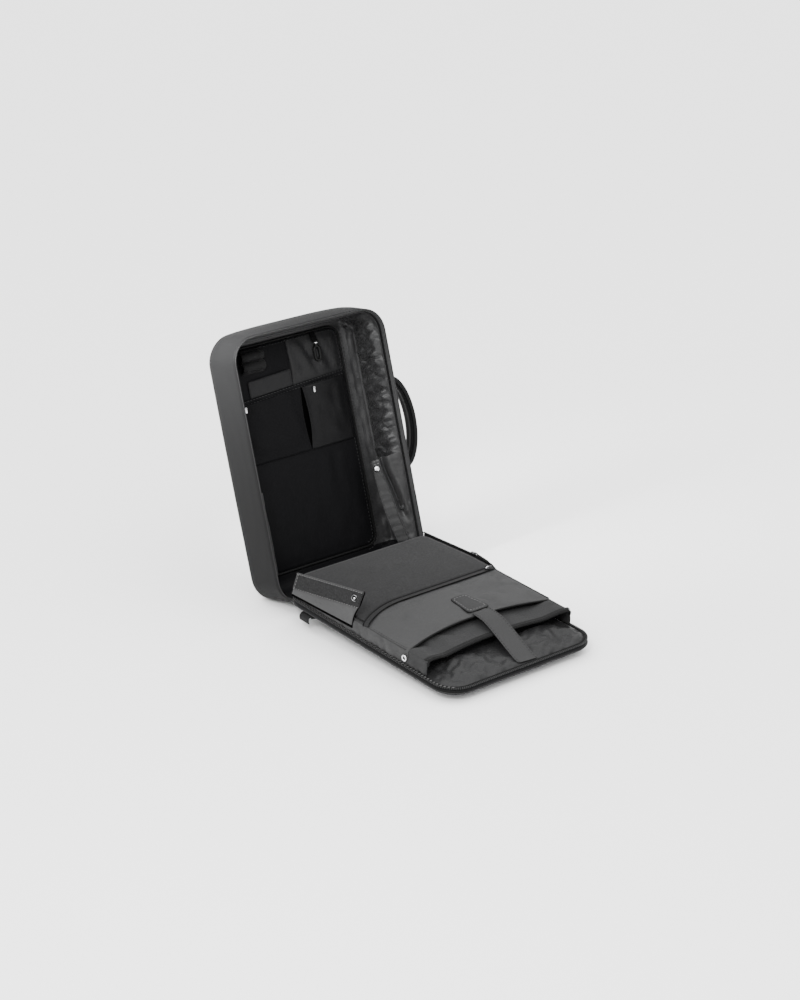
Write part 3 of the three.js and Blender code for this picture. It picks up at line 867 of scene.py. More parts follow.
@dataclass
class Shell:
    """Outer cover and lining of the deep half."""

    depth: float = 89.0
    edge: float = 22.0
    wall: float = 1.6
    spacing: float = 9.0
    crown_top: float = 8.5
    crown_back: float = 5.0
    crown_side: float = 1.5
    lining_inset: float = 3.7
    lining_mouth: float = 9.6
    lining_spacing: float = 6.0
    lining_thickness: float = 0.8
    floor_top: float = 16.0
    folds: Creases = Creases(4.6, (34.0, 15.0), 3.1)
    high_folds: Creases = Creases(5.0, (60.0, 12.0), 7.7)
    rim_band: Point = (12.0, 24.0)
    side_band: Point = (121.0, 127.0)
    wall_band: Point = (138.0, 144.0)
    high_band: Point = (320.0, 370.0)
    gusset_edges: Edges = (12.0, 76.0, 20.0, 396.0)
    gusset_spacing: float = 2.2
    gusset_gap: float = 1.0
    gusset_sewn: float = 14.0
    gusset_thickness: float = 0.5
    gusset_folds: Creases = Creases(11.0, (30.0, 12.5), 1.3)
    gusset_run: ClothRun = ClothRun(growth=0.06, bending=1.6, cap=6.0, backed=True, frames=16)
    gather: float = 1.15

    def build(self) -> None:
        """Makes the cover, the lining and the crumpled lining of the right wall."""
        self.cover()
        self.lining()
        self.gusset()

    def tub(self, inset: float, mouth: float, spacing: float) -> BMesh:
        """A tub open at the mouth.

        Args:
            inset: How far it lies within the outer face.
            mouth: Depth at which it starts.
            spacing: About the size of its faces.

        Returns:
            Its mesh, whose faces look outwards.
        """
        low = (inset - HALF, mouth, inset - FOOT)
        high = (HALF - inset, self.depth - inset, HEIGHT - inset)
        bm = block(low, high)
        round_edges(bm, edges_along(bm, 1), CORNER - inset, 10)
        bmesh.ops.delete(bm, geom=faces_towards(bm, (0, -1, 0)), context="FACES")
        round_edges(bm, border_of(faces_towards(bm, (0, 1, 0))), self.edge - inset, 6)
        for axis in range(3):
            slice_grid(bm, axis, low[axis], high[axis], spacing)
        return bm

    def crown(self, vert: BMVert) -> float:
        """How far the padded cover swells at a point."""
        place, normal = vert.co, vert.normal
        across = 1.0 - (place.x / HALF) ** 2
        middle = (HEIGHT - FOOT) / 2
        upward = max(0.0, 1.0 - ((place.z - middle) / (middle + FOOT)) ** 2)
        ripe = math.sin(math.pi * min(1.0, place.y / self.depth * 0.8))
        fuller = 1.0 - (place.x / HALF) ** 4
        top = self.crown_top * normal.z**2 * fuller * ripe if place.z > middle else 0.0
        side = self.crown_side * normal.x**2 * upward * ripe
        back = self.crown_back * normal.y**2 * across * upward
        return top + side + back

    def cover(self) -> None:
        """The outer cover, swollen a little between its edges."""
        bm = self.tub(0.0, 0.0, self.spacing)
        lift(bm, self.crown)
        piece = make_piece("shell_cover", bm, SHELL, COATED, ["shell_body"])
        thicken(piece, self.wall)

    def lining(self) -> None:
        """The thin lining, with soft folds beside the organizer; its floor is cut off and made of dark cloth
        as painted shade.
        """
        bm = self.tub(self.lining_inset, self.lining_mouth, self.lining_spacing)

        def height(vert: BMVert) -> float:
            """Depth of the folds, which leave the rim, the back and the right wall flat."""
            place = vert.co
            free = ease(place.y, *self.rim_band) * ease(abs(place.x), *self.side_band)
            free *= 1.0 - ease(place.x, *self.wall_band)
            high = ease(place.z, *self.high_band)
            folds = self.high_folds.height(place.x - place.z, place.x + place.z)
            aside = place.x + place.y
            return -free * (self.folds.height(aside - place.z, aside + place.z) + high * folds)

        lift(bm, height)
        cut = [*bm.verts, *bm.edges, *bm.faces]
        bmesh.ops.bisect_plane(bm, geom=cut, plane_co=(0, 0, self.floor_top), plane_no=UP)
        base = bm.copy()
        for part, floor in ((bm, False), (base, True)):
            below = [(face, face.calc_center_median().z < self.floor_top) for face in part.faces]
            other = [face for face, low in below if low is not floor]
            bmesh.ops.delete(part, geom=other, context="FACES")
        piece = make_piece("shell_lining_cloth", bm, SHELL, LINING, ["shell_lining"])
        thicken(piece, self.lining_thickness)
        # The floor's dark cloth is painted shade for the shadowed bottom of the shell
        thicken(make_piece("shell_floor_painted_shade", base, SHELL, DARK), self.lining_thickness)

    def drawn_in(self, depth: float, up: float) -> float:
        """How far the lining's rounded corners lie in from its flat right wall."""
        total = 0.0
        corners = ((up - HEIGHT + CORNER, CORNER), (depth - self.depth + self.edge, self.edge))
        for beyond, outer in corners:
            radius = outer - self.lining_inset - self.gusset_gap
            reach = min(max(0.0, beyond), radius)
            total += radius - math.sqrt(radius**2 - reach**2)
        return total

    def gusset(self) -> None:
        """The loose cloth along the right wall, gathered into creases by simulation."""
        near, far, low, high = self.gusset_edges
        bm = panel(near, far, low, high, self.gusset_spacing)

        def inside(x: float, y: float) -> float:
            """Distance from the nearest sewn edge."""
            return min(x - near, far - x, y - low, high - y)

        def height(x: float, y: float) -> float:
            """Height from which the cloth starts."""
            loose = ease(inside(x, y), 0.0, self.gusset_sewn)
            return 0.4 + loose * self.gusset_folds.height(x, y + 0.3 * x)

        raise_flat(bm, height)
        place = SHELL @ shift(HALF - self.lining_inset - self.gusset_gap, 0, 0) @ FACING_LEFT
        piece = make_piece("wall_gusset", bm, place, LINING, sharp=180.0)
        self.gusset_run.settle(piece, place, lambda spot: float(inside(spot.x, spot.y) < 1.0))
        back = place.inverted()
        for vert in piece.data.vertices:
            spot = back @ vert.co
            spot.z += self.drawn_in(spot.x, spot.y)
            vert.co = place @ spot
        thicken(piece, self.gusset_thickness)
        soften(piece)


@dataclass
class RimZip:
    """Edge binding, zip tape and teeth along the rim of one half."""

    place: Place
    binding: list[Point]
    flap: list[Point]
    cord: Point
    cord_radius: float
    cord_finish: Finish
    tape: list[Point]
    teeth: Point
    tooth: Triple
    pitch: float
    coil: Finish
    stitches: Point | None = None
    second_row: Triple = (1.7, 0.0, -0.2)
    step: float = 6.0

    def line(self, closed: bool) -> list[Vector]:
        """The rim's line round its far end, from hinge to hinge or closed along the hinge."""
        low = -FOOT if self.place is Place.SHELL else LID_START
        outline = outline_of(-HALF, HALF, low, HEIGHT, CORNER)
        kept = [point for point in outline if closed or point[1] >= ZIP_START]
        if self.place is Place.SHELL:
            return [Vector((x, 0.0, y)) for x, y in kept]
        return [Vector((x, -y, LID_TOP)) for x, y in reversed(kept)]

    def route(self, spacing: float, closed: bool = False) -> list[Matrix]:
        """Frames along the rim: X inwards and Y out of the half."""
        up = Vector((0, -1, 0)) if self.place is Place.SHELL else UP
        frames = around if closed else along
        return frames(self.line(closed), spacing, up)

    def build(self) -> None:
        """Makes the binding, the cord, the tapes, the teeth and the stitches."""
        name, place = self.place.name.lower(), self.place.matrix
        whole = self.route(self.step, True)
        # The bindings' lighter cloth is a painted highlight along the rim's edge
        swept(f"{name}_binding", self.binding, whole, place, EDGE_PAINTED_HIGHLIGHT, sharp=60.0, closed=True)
        # The flap's lighter cloth is painted light against the shade on the inward-facing flap
        if self.flap:
            swept(f"{name}_flap", self.flap, whole, place, FLAP_PAINTED_LIGHT, closed=True)
        half = self.route(self.step)
        cord = round_profile(self.cord_radius, SIDES, self.cord)
        swept(f"{name}_rim_cord", cord, half, place, self.cord_finish, sharp=60.0)
        swept(f"{name}_zip_tape", self.tape, half, place, TAPE, [f"{name}_zip"])

        across, up = self.teeth
        size = Matrix.Diagonal((*self.tooth, 1.0))
        bm = bmesh.new()
        for here in self.route(self.pitch):
            seat = here @ shift(across, up, 0) @ size
            bmesh.ops.create_cube(bm, size=1.0, matrix=seat)
        make_piece(f"{name}_zip_teeth", bm, place, self.coil)

        if self.stitches:
            seat = Vector((*self.stitches, 0.0))
            left = [here @ seat for here in half if here.translation.x < CORNER / 2 - HALF]
            sewn = Stitching(f"{name}_rim_stitches", WING_THREAD, length=3.4, pitch=6.6, radius=0.65)
            sewn.row(left, place)
            inner = [point + Vector(self.second_row) for point in left]
            # The second row starts about half a stitch on
            sewn.row([inner[0].lerp(inner[1], 0.55), *inner[1:]], place)
            sewn.finish()


# Inside of the shell


@dataclass
class Organizer:
    """The dark panel in the shell's back with its pockets, loops and hook."""

    half: float = 112.0
    low: float = 20.0
    high: float = 388.0
    corner: float = 18.0
    front: float = 82.4
    thickness: float = 1.8
    upper_folds: Creases = Creases(7.0, (15.0, 80.0), 2.2)
    lower_folds: Creases = Creases(3.0, (17.0, 90.0), 5.2)
    upper_band: Point = (312.0, 330.0)
    lower_end: float = 196.0
    fade: float = 20.0
    hem: Point = (303.0, 310.0)
    hem_half: float = 108.0
    seam: float = 306.0
    slit: float = 20.0
    bow: float = 4.2
    lip: float = 3.0
    lean: float = 0.053
    lean_bands: Edges = (200.0, 296.0, 340.0, 380.0)
    pocket_thickness: float = 1.2
    corner_cloth: float = 8.0
    loop_ends: Point = (346.0, 385.0)
    loops: Point = (357.0, 374.0)
    loop_size: Point = (7.6, 8.4)
    loop_x: float = -88.0
    loop_step: float = 11.0
    hook: float = 7.5
    hook_x: float = 61.0

    def build(self) -> None:
        """Makes the panel, its piping, the pockets, the pen band and the key hook."""
        self.back_panel()
        self.pockets()
        self.pen_band()
        self.key_hook()
        self.pulls()

    def back_panel(self) -> None:
        """The panel's three cloths, loosely folded under the key hook, and the piping round them."""
        outline = outline_of(-self.half, self.half, self.low, self.high, self.corner)

        def height(x: float, y: float) -> float:
            """Height of the upright folds over and under the pockets."""
            above = ease(y, *self.upper_band) * ease(self.high - y, 0.0, self.fade)
            below = ease(self.lower_end - y, 0.0, self.fade)
            below *= ease(y, self.low, self.low + self.fade)
            folds = above * ease(x, 6.0, 24.0) * self.upper_folds.height(x + 0.35 * y, y)
            folds += below * self.lower_folds.height(x, y)
            return ease(self.half - abs(x), 0.0, 16.0) * folds

        place = upright(self.front)
        parts = (
            ("organizer_cloth", -self.half, self.half, self.low, self.seam, DARK, ["organizer_panel"]),
            ("organizer_top_cloth", self.corner_cloth, self.half, self.seam, self.high, PANEL, []),
            ("organizer_corner_cloth", -self.half, self.corner_cloth, self.seam, self.high, DARK, []),
        )
        for name, left, right, low, high, finish, replaced in parts:
            bm = panel(left, right, low, high, 5.0)
            trim(bm, outline)
            raise_flat(bm, height)
            self.tilt(bm)
            thicken(make_piece(name, bm, place, finish, replaced), self.thickness)

        cord = round_profile(1.7, SIDES, (-1.8, 0.4))
        route = around(at_height(outline), 7.0)
        swept("organizer_cord", cord, route, place, PIPING, ["organizer_piping"], closed=True)

        sewn = Stitching("organizer_stitches", DARK_THREAD)
        for out, above in ((8.0, 0.0), (-4.0, 0.6)):
            half, low, high = self.half + out, self.low - out, self.high + out
            aside = outline_of(-half, half, low, high, self.corner + out)
            sewn.row(at_height(aside, above), place)
        sewn.finish()

    def tilt(self, bm: BMesh) -> None:
        """Lets the hem and what lies next to it rise to the right."""
        start, full, level_off, end = self.lean_bands
        for vert in bm.verts:
            share = ease(vert.co.y, start, full)
            share *= 1.0 - ease(vert.co.y, level_off, end)
            vert.co.y += self.lean * vert.co.x * share

    def pocket(self, name: str, sides: Edges, swell: float, finish: Cloth) -> None:
        """A flat pocket of loose cloth, whose edge bows away from the slit between the pockets.

        Args:
            name: The frame node that it stands for.
            sides: Left, right, low and high edge.
            swell: How far it stands out in the middle.
            finish: Its cloth.
        """
        left, right, low, high = sides
        bm = panel(left, right, low, high, 4.0)
        trim(bm, outline_of(left, right, low, high, 3.0))
        soft = Creases(4.6, (30.0, 44.0), swell + 2.4)

        def height(x: float, y: float) -> float:
            """Height of the swelling and the folds."""
            across = ease(min(x - left, right - x), 0.0, 26.0)
            rise = ease(y - low, 0.0, 40.0)
            lip = self.lip * math.exp(-(((x - self.slit) / 5.0) ** 2)) if x > self.slit else 0.0
            return 0.3 + rise * (across * (swell + soft.height(x + 0.5 * y, y - 0.3 * x)) + lip)

        raise_flat(bm, height)
        for vert in bm.verts:
            bow = self.bow * math.sin(math.pi * (vert.co.y - low) / (high - low))
            off = vert.co.x - self.slit
            vert.co.x += math.copysign(bow * math.exp(-((off / 9.0) ** 2)), off)
        self.tilt(bm)
        place = upright(POCKET_BACK - self.pocket_thickness)
        thicken(make_piece(f"{name}_cloth", bm, place, finish, [name]), self.pocket_thickness)

    def pockets(self) -> None:
        """The two pockets side by side, the hem over them and the card pocket."""
        rows = (
            ("pocket_left", (-108.0, 19.4, 200.0, 304.0), 2.0, DARK),
            ("pocket_right", (20.6, 108.0, 200.0, 304.0), 2.6, POUCH),
            ("card_pocket", (-80.0, 6.0, 311.0, 338.0), 0.5, PATCH),
        )
        for name, sides, swell, finish in rows:
            self.pocket(name, sides, swell, finish)
        # A near-black sheet behind the slit between the pockets, as painted shade in the slit
        bm = panel(self.slit - 6.0, self.slit + 6.0, 204.0, 303.0, 3.0)
        make_piece("pocket_slit_painted_shade", bm, upright(POCKET_BACK - 0.6), PAINTED_SHADE)

        low, high = self.hem
        middle, width = (low + high) / 2, (high - low) / 2
        ends = (-self.hem_half, self.hem_half)
        line = [Vector((x, middle + self.lean * x, 0.0)) for x in ends]
        place = upright(POCKET_BACK - 1.5)
        band = flat_profile(-width, width, -0.4, 1.0)
        swept("pocket_hem", band, along(line, 12.0), place, DARK, ["pocket_binding"])
        sewn = Stitching("hem_stitches", DARK_THREAD)
        for off in (-width + 0.8, width - 0.8):
            sewn.row([point + Vector((0.0, off, 1.1)) for point in line], place)
        sewn.finish()

    def pen_band(self) -> None:
        """An elastic band sewn into two loops."""
        bm = bmesh.new()
        wide, tall = self.loop_size
        line = [(self.loop_ends[0], 0.0)]
        for centre in self.loops:
            for share in shares(12):
                angle = math.pi * share
                line.append((centre - wide * math.cos(angle), tall * math.sin(angle)))
        line.append((self.loop_ends[1], 0.0))
        verts = [bm.verts.new((self.loop_x, y, z)) for y, z in line]
        edges = [bm.edges.new(pair) for pair in zip(verts, verts[1:])]
        for _ in range(4):
            made = bmesh.ops.extrude_edge_only(bm, edges=edges)["geom"]
            fresh = {item for item in made if isinstance(item, BMVert)}
            edges = [item for item in made if isinstance(item, BMEdge) and fresh.issuperset(item.verts)]
            bmesh.ops.translate(bm, vec=(self.loop_step, 0, 0), verts=list(fresh))
        bmesh.ops.recalc_face_normals(bm, faces=bm.faces)
        piece = make_piece("pen_loops", bm, upright(POCKET_BACK - 1.0), ELASTIC, ["pen_band"])
        thicken(piece, 1.1)

    def key_hook(self) -> None:
        """A short strap and the moulded hook that hangs on it."""
        x = self.hook_x
        line = [Vector((x, 387.0, 0.6)), Vector((x, 379.0, 4.4)), Vector((x, 372.5, 6.4))]
        strap = flat_profile(-5.0, 5.0, -0.8, 0.8)
        seat = upright(POCKET_BACK - 1.0)
        swept("key_strap_band", strap, along(line, 3.0), seat, TAPE, ["key_strap"])

        place = upright(POCKET_BACK - self.hook)
        along_y = turn_by(-90.0, "X")
        bm = bmesh.new()
        loop = outline_of(x - 5.0, x + 5.0, 341.0, 364.0, 4.9)
        sweep(bm, round_profile(2.7, SIDES), around(at_height(loop), 2.0), True)
        neck = [(0.0, 0.0), (3.0, 0.0), (3.6, 2.0), (2.4, 5.0), (3.8, 6.5), (3.8, 9.0), (0.0, 9.0)]
        collar = lathe(neck, 16)
        bmesh.ops.transform(collar, matrix=shift(x, 364.0, 0.0) @ along_y, verts=collar.verts)
        join(bm, collar)
        make_piece("key_clasp", bm, place, PLASTIC, ["key_hook"], sharp=50.0)

        ring = [(2.6, 0.0), (3.9, 0.0), (4.1, 0.6), (3.9, 1.2), (2.6, 1.2), (2.6, 0.0)]
        seat = place @ shift(x, 369.4, 0.0) @ along_y
        turned("key_swivel", ring, seat, STEEL, sharp=50.0, steps=16)

    def pulls(self) -> None:
        """The small metal pulls of the two pockets."""
        rows = (("pocket_pull_left", -96.0, 296.0, 4.8), ("pocket_pull_right", 40.0, 301.0, 8.6))
        for name, x, top, front in rows:
            bm = plate(outline_of(x - 1.8, x + 1.8, top - 9.0, top - 2.0, 1.5), 1.3, 0.4)
            ring = lathe([(1.0, 0.0), (1.8, 0.0), (1.8, 1.8), (1.0, 1.8), (1.0, 0.0)], 18)
            bmesh.ops.translate(ring, vec=(x, top - 1.5, 0.0), verts=ring.verts)
            join(bm, ring)
            make_piece(f"{name}_metal", bm, upright(POCKET_BACK - front), STEEL, [name])


def stud(name: str, matrix: Matrix, replaces: str) -> None:
    """A press stud with a bright cap on a dark post, which points along the matrix's Z."""
    # The post is black plastic whose foot reaches past the cap; its dark flange also stands as painted shadow
    # under the cap
    post = [(0.0, 0.0), (5.0, 0.0), (5.2, 0.7), (4.4, 1.3), (2.6, 1.5), (2.6, 3.4), (0.0, 3.4)]
    turned(name, post, matrix, PLASTIC, [replaces])
    cap = [(0.0, 3.2), (4.0, 3.2), (4.4, 3.8), (4.0, 4.4), (2.2, 5.0), (0.0, 5.2)]
    turned(f"{name}_cap", cap, matrix, STEEL)


@dataclass
class ShellWings:
    """The side wings of the shell: the right one stands folded in, the left one lies on its wall."""

    width: float = 49.6
    low_width: float = 31.0
    low: float = 20.0
    high: float = 169.0
    drop: float = 8.0
    strip: float = 19.0
    curl: float = 7.5
    seat: float = 144.3
    depth: float = 12.5
    fold: float = 31.0
    folds: Creases = Creases(2.2, (26.0, 17.0), 5.6)
    crease: float = 5.5
    crease_slant: float = 4.0
    valley: float = 13.0
    valley_width: float = 4.4
    ridge: float = 2.4
    ridge_width: float = 5.0
    ridge_off: float = 11.0
    allowance: float = 1.05
    ripple: Creases = Creases(1.3, (70.0, 8.0), 3.3)
    stud_at: Triple = (-44.5, 148.0, 2.2)
    left_edges: Edges = (6.0, 60.0, 34.0, 168.0)
    left_x: float = -143.6
    left_folds: Creases = Creases(2.0, (24.0, 30.0), 4.9)

    def matrix(self) -> Matrix:
        """The right wing's place: X towards the wall, Y up and Z to the front."""
        turn = turn_by(-self.fold, "Z") @ turn_by(90.0, "X")
        return SHELL @ shift(self.seat, self.depth, 0) @ turn

    def wide(self, up: float) -> float:
        """Width of the right wing at a share of its height."""
        return self.width - (self.width - self.low_width) * max(0.0, 1.0 - up) ** 2.2

    def strip_width(self, up: float) -> float:
        """Width of the strip, which curls away at the top."""
        return self.strip - self.curl * ease(up, 0.5, 1.0)

    def spot(self, across: float, up: float) -> Point:
        """A place on the right wing, from its shares inwards from the wall and up."""
        high = self.high - self.drop * across
        return -self.wide(up) * across, self.low + (high - self.low) * up

    def on_strip(self, share: float, up: float) -> Point:
        """A place on the strip, from its share inwards and its share up."""
        return self.spot(1.0 - (1.0 - share) * self.strip_width(up) / self.wide(up), up)

    def build(self) -> None:
        """Makes both wings, the strip and the stud."""
        self.right_cloth()
        self.right_strip()
        front, back, low, high = self.left_edges
        bm = panel(front, back, low, high, 6.0)
        raise_flat(bm, self.left_folds.height)
        lay = SHELL @ shift(self.left_x, 0, 0) @ FACING_RIGHT
        piece = make_piece("left_wing_cloth", bm, lay, WING_CLOTH, ["shell_wing_left"])
        thicken(piece, 1.0)

    def right_cloth(self) -> None:
        """The right wing's loose cloth, with a deep fold beside the strip."""
        bm = panel(0.0, self.width, 0.0, self.high, 2.6)
        for vert in bm.verts:
            across, up = 1.0 - vert.co.x / self.width, vert.co.y / self.high
            x, y = self.spot(across, up)
            beside = self.wide(up) - self.strip_width(up) + x
            off = beside - self.crease - self.crease_slant * (1.0 - up)
            loose = ease(-x, 0.0, 7.0) * ease(beside, -2.0, 3.0)
            valley = -self.valley * math.exp(-((off / self.valley_width) ** 2))
            valley *= ease(up, 0.2, 0.42)
            ridge = self.ridge * math.exp(-(((off - self.ridge_off) / self.ridge_width) ** 2))
            ridge += self.folds.height(x, y)
            vert.co = Vector((x, y, -0.8 + loose * (valley + ridge)))
        place = self.matrix()
        piece = make_piece("right_wing_cloth", bm, place, WING_CLOTH, ["shell_wing_right"], sharp=180.0)
        thicken(piece, 0.8)
        soften(piece)

    def right_strip(self) -> None:
        """The strip along the right wing's free edge, its hems, stitches and stud."""
        place = self.matrix()
        bm = panel(0.0, self.strip, 0.0, self.high, 3.0)
        for vert in bm.verts:
            x, y = self.on_strip(1.0 - vert.co.x / self.strip, vert.co.y / self.high)
            vert.co = Vector((x, y, 1.2 + self.ripple.height(x, y)))
        piece = make_piece("right_wing_strip", bm, place, WING_CLOTH, ["shell_wing_strip"], sharp=180.0)
        thicken(piece, 1.4)
        soften(piece)

        bm = bmesh.new()
        for share, radius in ((0.0, 1.1), (1.0, 1.0)):
            line = at_height([self.on_strip(share, up) for up in shares(24)], 1.6)
            sweep(bm, round_profile(radius, SIDES), along(line, 5.0))
        make_piece("right_wing_hems", bm, place, WING_CLOTH, sharp=60.0)

        sewn = Stitching("right_wing_stitches")
        for up in (0.955, 0.985):
            line = at_height([self.spot(0.1 + 0.88 * share, up) for share in shares(20)], 2.6)
            sewn.row(line[15:], place)
        sewn.finish()
        stud("right_wing_stud", place @ Matrix.Translation(self.stud_at), "shell_wing_stud")


@dataclass
class Handle:
    """The padded carrying handle on the shell's right wall."""

    low: float = 135.0
    high: float = 289.5
    depth: float = 42.0
    seat: float = 153.6
    reach: float = 60.4
    half_width: float = 11.6
    half_thickness: float = 6.8
    end_swell: float = 0.62
    patch: Point = (16.0, 18.0)
    patch_thickness: float = 2.6
    patch_seam: float = 3.0

    def line(self) -> list[Vector]:
        """Points of the handle's bow."""
        corners = [
            Vector((self.seat - 1.0, self.depth, self.low)),
            Vector((self.seat + self.reach, self.depth, self.low - 2)),
            Vector((self.seat + self.reach, self.depth, self.high + 2)),
            Vector((self.seat - 1.0, self.depth, self.high)),
        ]
        points = []
        for t in shares(60):
            weights = ((1 - t) ** 3, 3 * t * (1 - t) ** 2, 3 * t * t * (1 - t), t**3)
            points.append(sum((c * w for c, w in zip(corners, weights)), Vector((0, 0, 0))))
        return points

    def profile(self) -> list[Point]:
        """A flat oval with grooves along it."""
        points = []
        sides = 40
        for side in range(sides):
            angle = math.tau * side / sides
            groove = 1.0 - 0.2 * max(0.0, math.cos(6 * angle)) ** 3
            x = self.half_thickness * math.copysign(abs(math.cos(angle)) ** 0.7, math.cos(angle))
            y = self.half_width * math.copysign(abs(math.sin(angle)) ** 0.7, math.sin(angle))
            points.append((x * groove, y * groove))
        return points

    def build(self) -> None:
        """Makes the grip, its two patches and their stitches."""
        route = along(self.line(), 5.0, Vector((0, 1, 0)))
        last = len(route) - 1
        shaped = []
        for index, here in enumerate(route):
            share = min(index, last - index) / last
            swell = self.end_swell + (1.0 - self.end_swell) * ease(share, 0.0, 0.16)
            shaped.append(here @ Matrix.Diagonal((swell, 0.8 + 0.2 * swell, 1.0, 1.0)))
        grip = swept("handle_bow", self.profile(), shaped, SHELL, GRIP, ["handle_grip"], sharp=50.0)

        sewn = Stitching("handle_stitches", DARK_THREAD)
        place = SHELL @ shift(HALF + 0.8, 0, 0) @ FACING_RIGHT
        wide, tall = self.patch
        for name, height in (("lower", self.low), ("upper", self.high)):
            edges = (self.depth - wide, self.depth + wide, height - tall, height + tall)
            bm = plate(outline_of(*edges, 7.0), self.patch_thickness, 0.9)
            make_piece(f"handle_patch_{name}", bm, place, GRIP, [f"handle_anchor_{name}"])
            signs = (1, -1, 1, -1)
            inner = outline_of(*(edge + self.patch_seam * sign for edge, sign in zip(edges, signs)), 5.0)
            sewn.row(at_height([*inner, inner[0]], self.patch_thickness + 0.1), place)
        sewn.finish()


# Lid


@dataclass
class Lid:
    """Board, lining and hinge of the flat half."""

    thickness: float = 9.0
    lining_inset: float = 6.5
    loose_from: float = 326.0
    fade: float = 16.0
    folds: Creases = Creases(5.0, (26.0, 13.0), 2.9)
    run: ClothRun = ClothRun(growth=0.08, cap=6.0, backed=True)
    strap_x: float = 27.0
    strap_start: float = 275.0
    strap_slant: float = 0.1132
    strap_band: Point = (17.0, 30.0)
    hinge_half: float = 110.0
    hinge_at: float = 2.7

    def build(self) -> None:
        """Makes the board, the loose lining and the cloth at the hinge."""
        high = (HALF, -LID_START, self.thickness)
        bm = rounded_block((-HALF, -HEIGHT, 0.0), high, (CORNER, 10), (3.5, 4))
        # The board's darker cloth is partly its own colour and partly painted shade on its edges
        make_piece("lid_board", bm, LID, LID_CLOTH_AND_SHADE, ["lid_panel"])
        self.lining()
        line = [Vector((x, -self.hinge_at, 0.0)) for x in (-self.hinge_half, self.hinge_half)]
        web = flat_profile(-0.9, 0.9, -8.8, 8.6)
        swept("hinge_cloth", web, along(line, 20.0), LID, COATED, ["hinge_web"])

    def lining(self) -> None:
        """The lining, loose and creased past the sleeve's mouth."""
        inset = self.lining_inset
        side = HALF - inset
        near = -LID_START - inset
        far = inset - HEIGHT
        bm = panel(-side, side, far, near, 4.0)
        radius = CORNER - inset
        trim(bm, outline_of(-side, side, far, near, radius))

        def looseness(x: float, y: float) -> float:
            """How loose the cloth is at a place, from 0 to 1."""
            border = radius - math.hypot(max(0.0, abs(x) - side + radius), max(0.0, far + radius - y))
            free = ease(-y, self.loose_from, self.loose_from + self.fade)
            free *= ease(border, 1.0, 8.0)
            strap = self.strap_x - self.strap_slant * (-y - self.strap_start)
            return free * ease(abs(x - strap), *self.strap_band)

        def height(x: float, y: float) -> float:
            """Height from which the cloth starts."""
            return 0.3 + looseness(x, y) * self.folds.height(x + y, y - x)

        raise_flat(bm, height)
        place = level(LID_TOP + 1.0)
        piece = make_piece("lid_lining_cloth", bm, place, LID_LINING, ["lid_lining"], sharp=180.0)
        self.run.settle(piece, place, lambda spot: float(looseness(spot.x, spot.y) < 0.02))
        thicken(piece, 0.7)
        soften(piece)


def tapered(x: float, distance: float) -> float:
    """Draws a place on the right half of the lid's pockets in, the nearer it is to the hinge."""
    share = max(0.0, (TAPER_FAR - distance) / (TAPER_FAR - TAPER_NEAR))
    return x - TAPER_INSET * share * max(0.0, x) / HALF


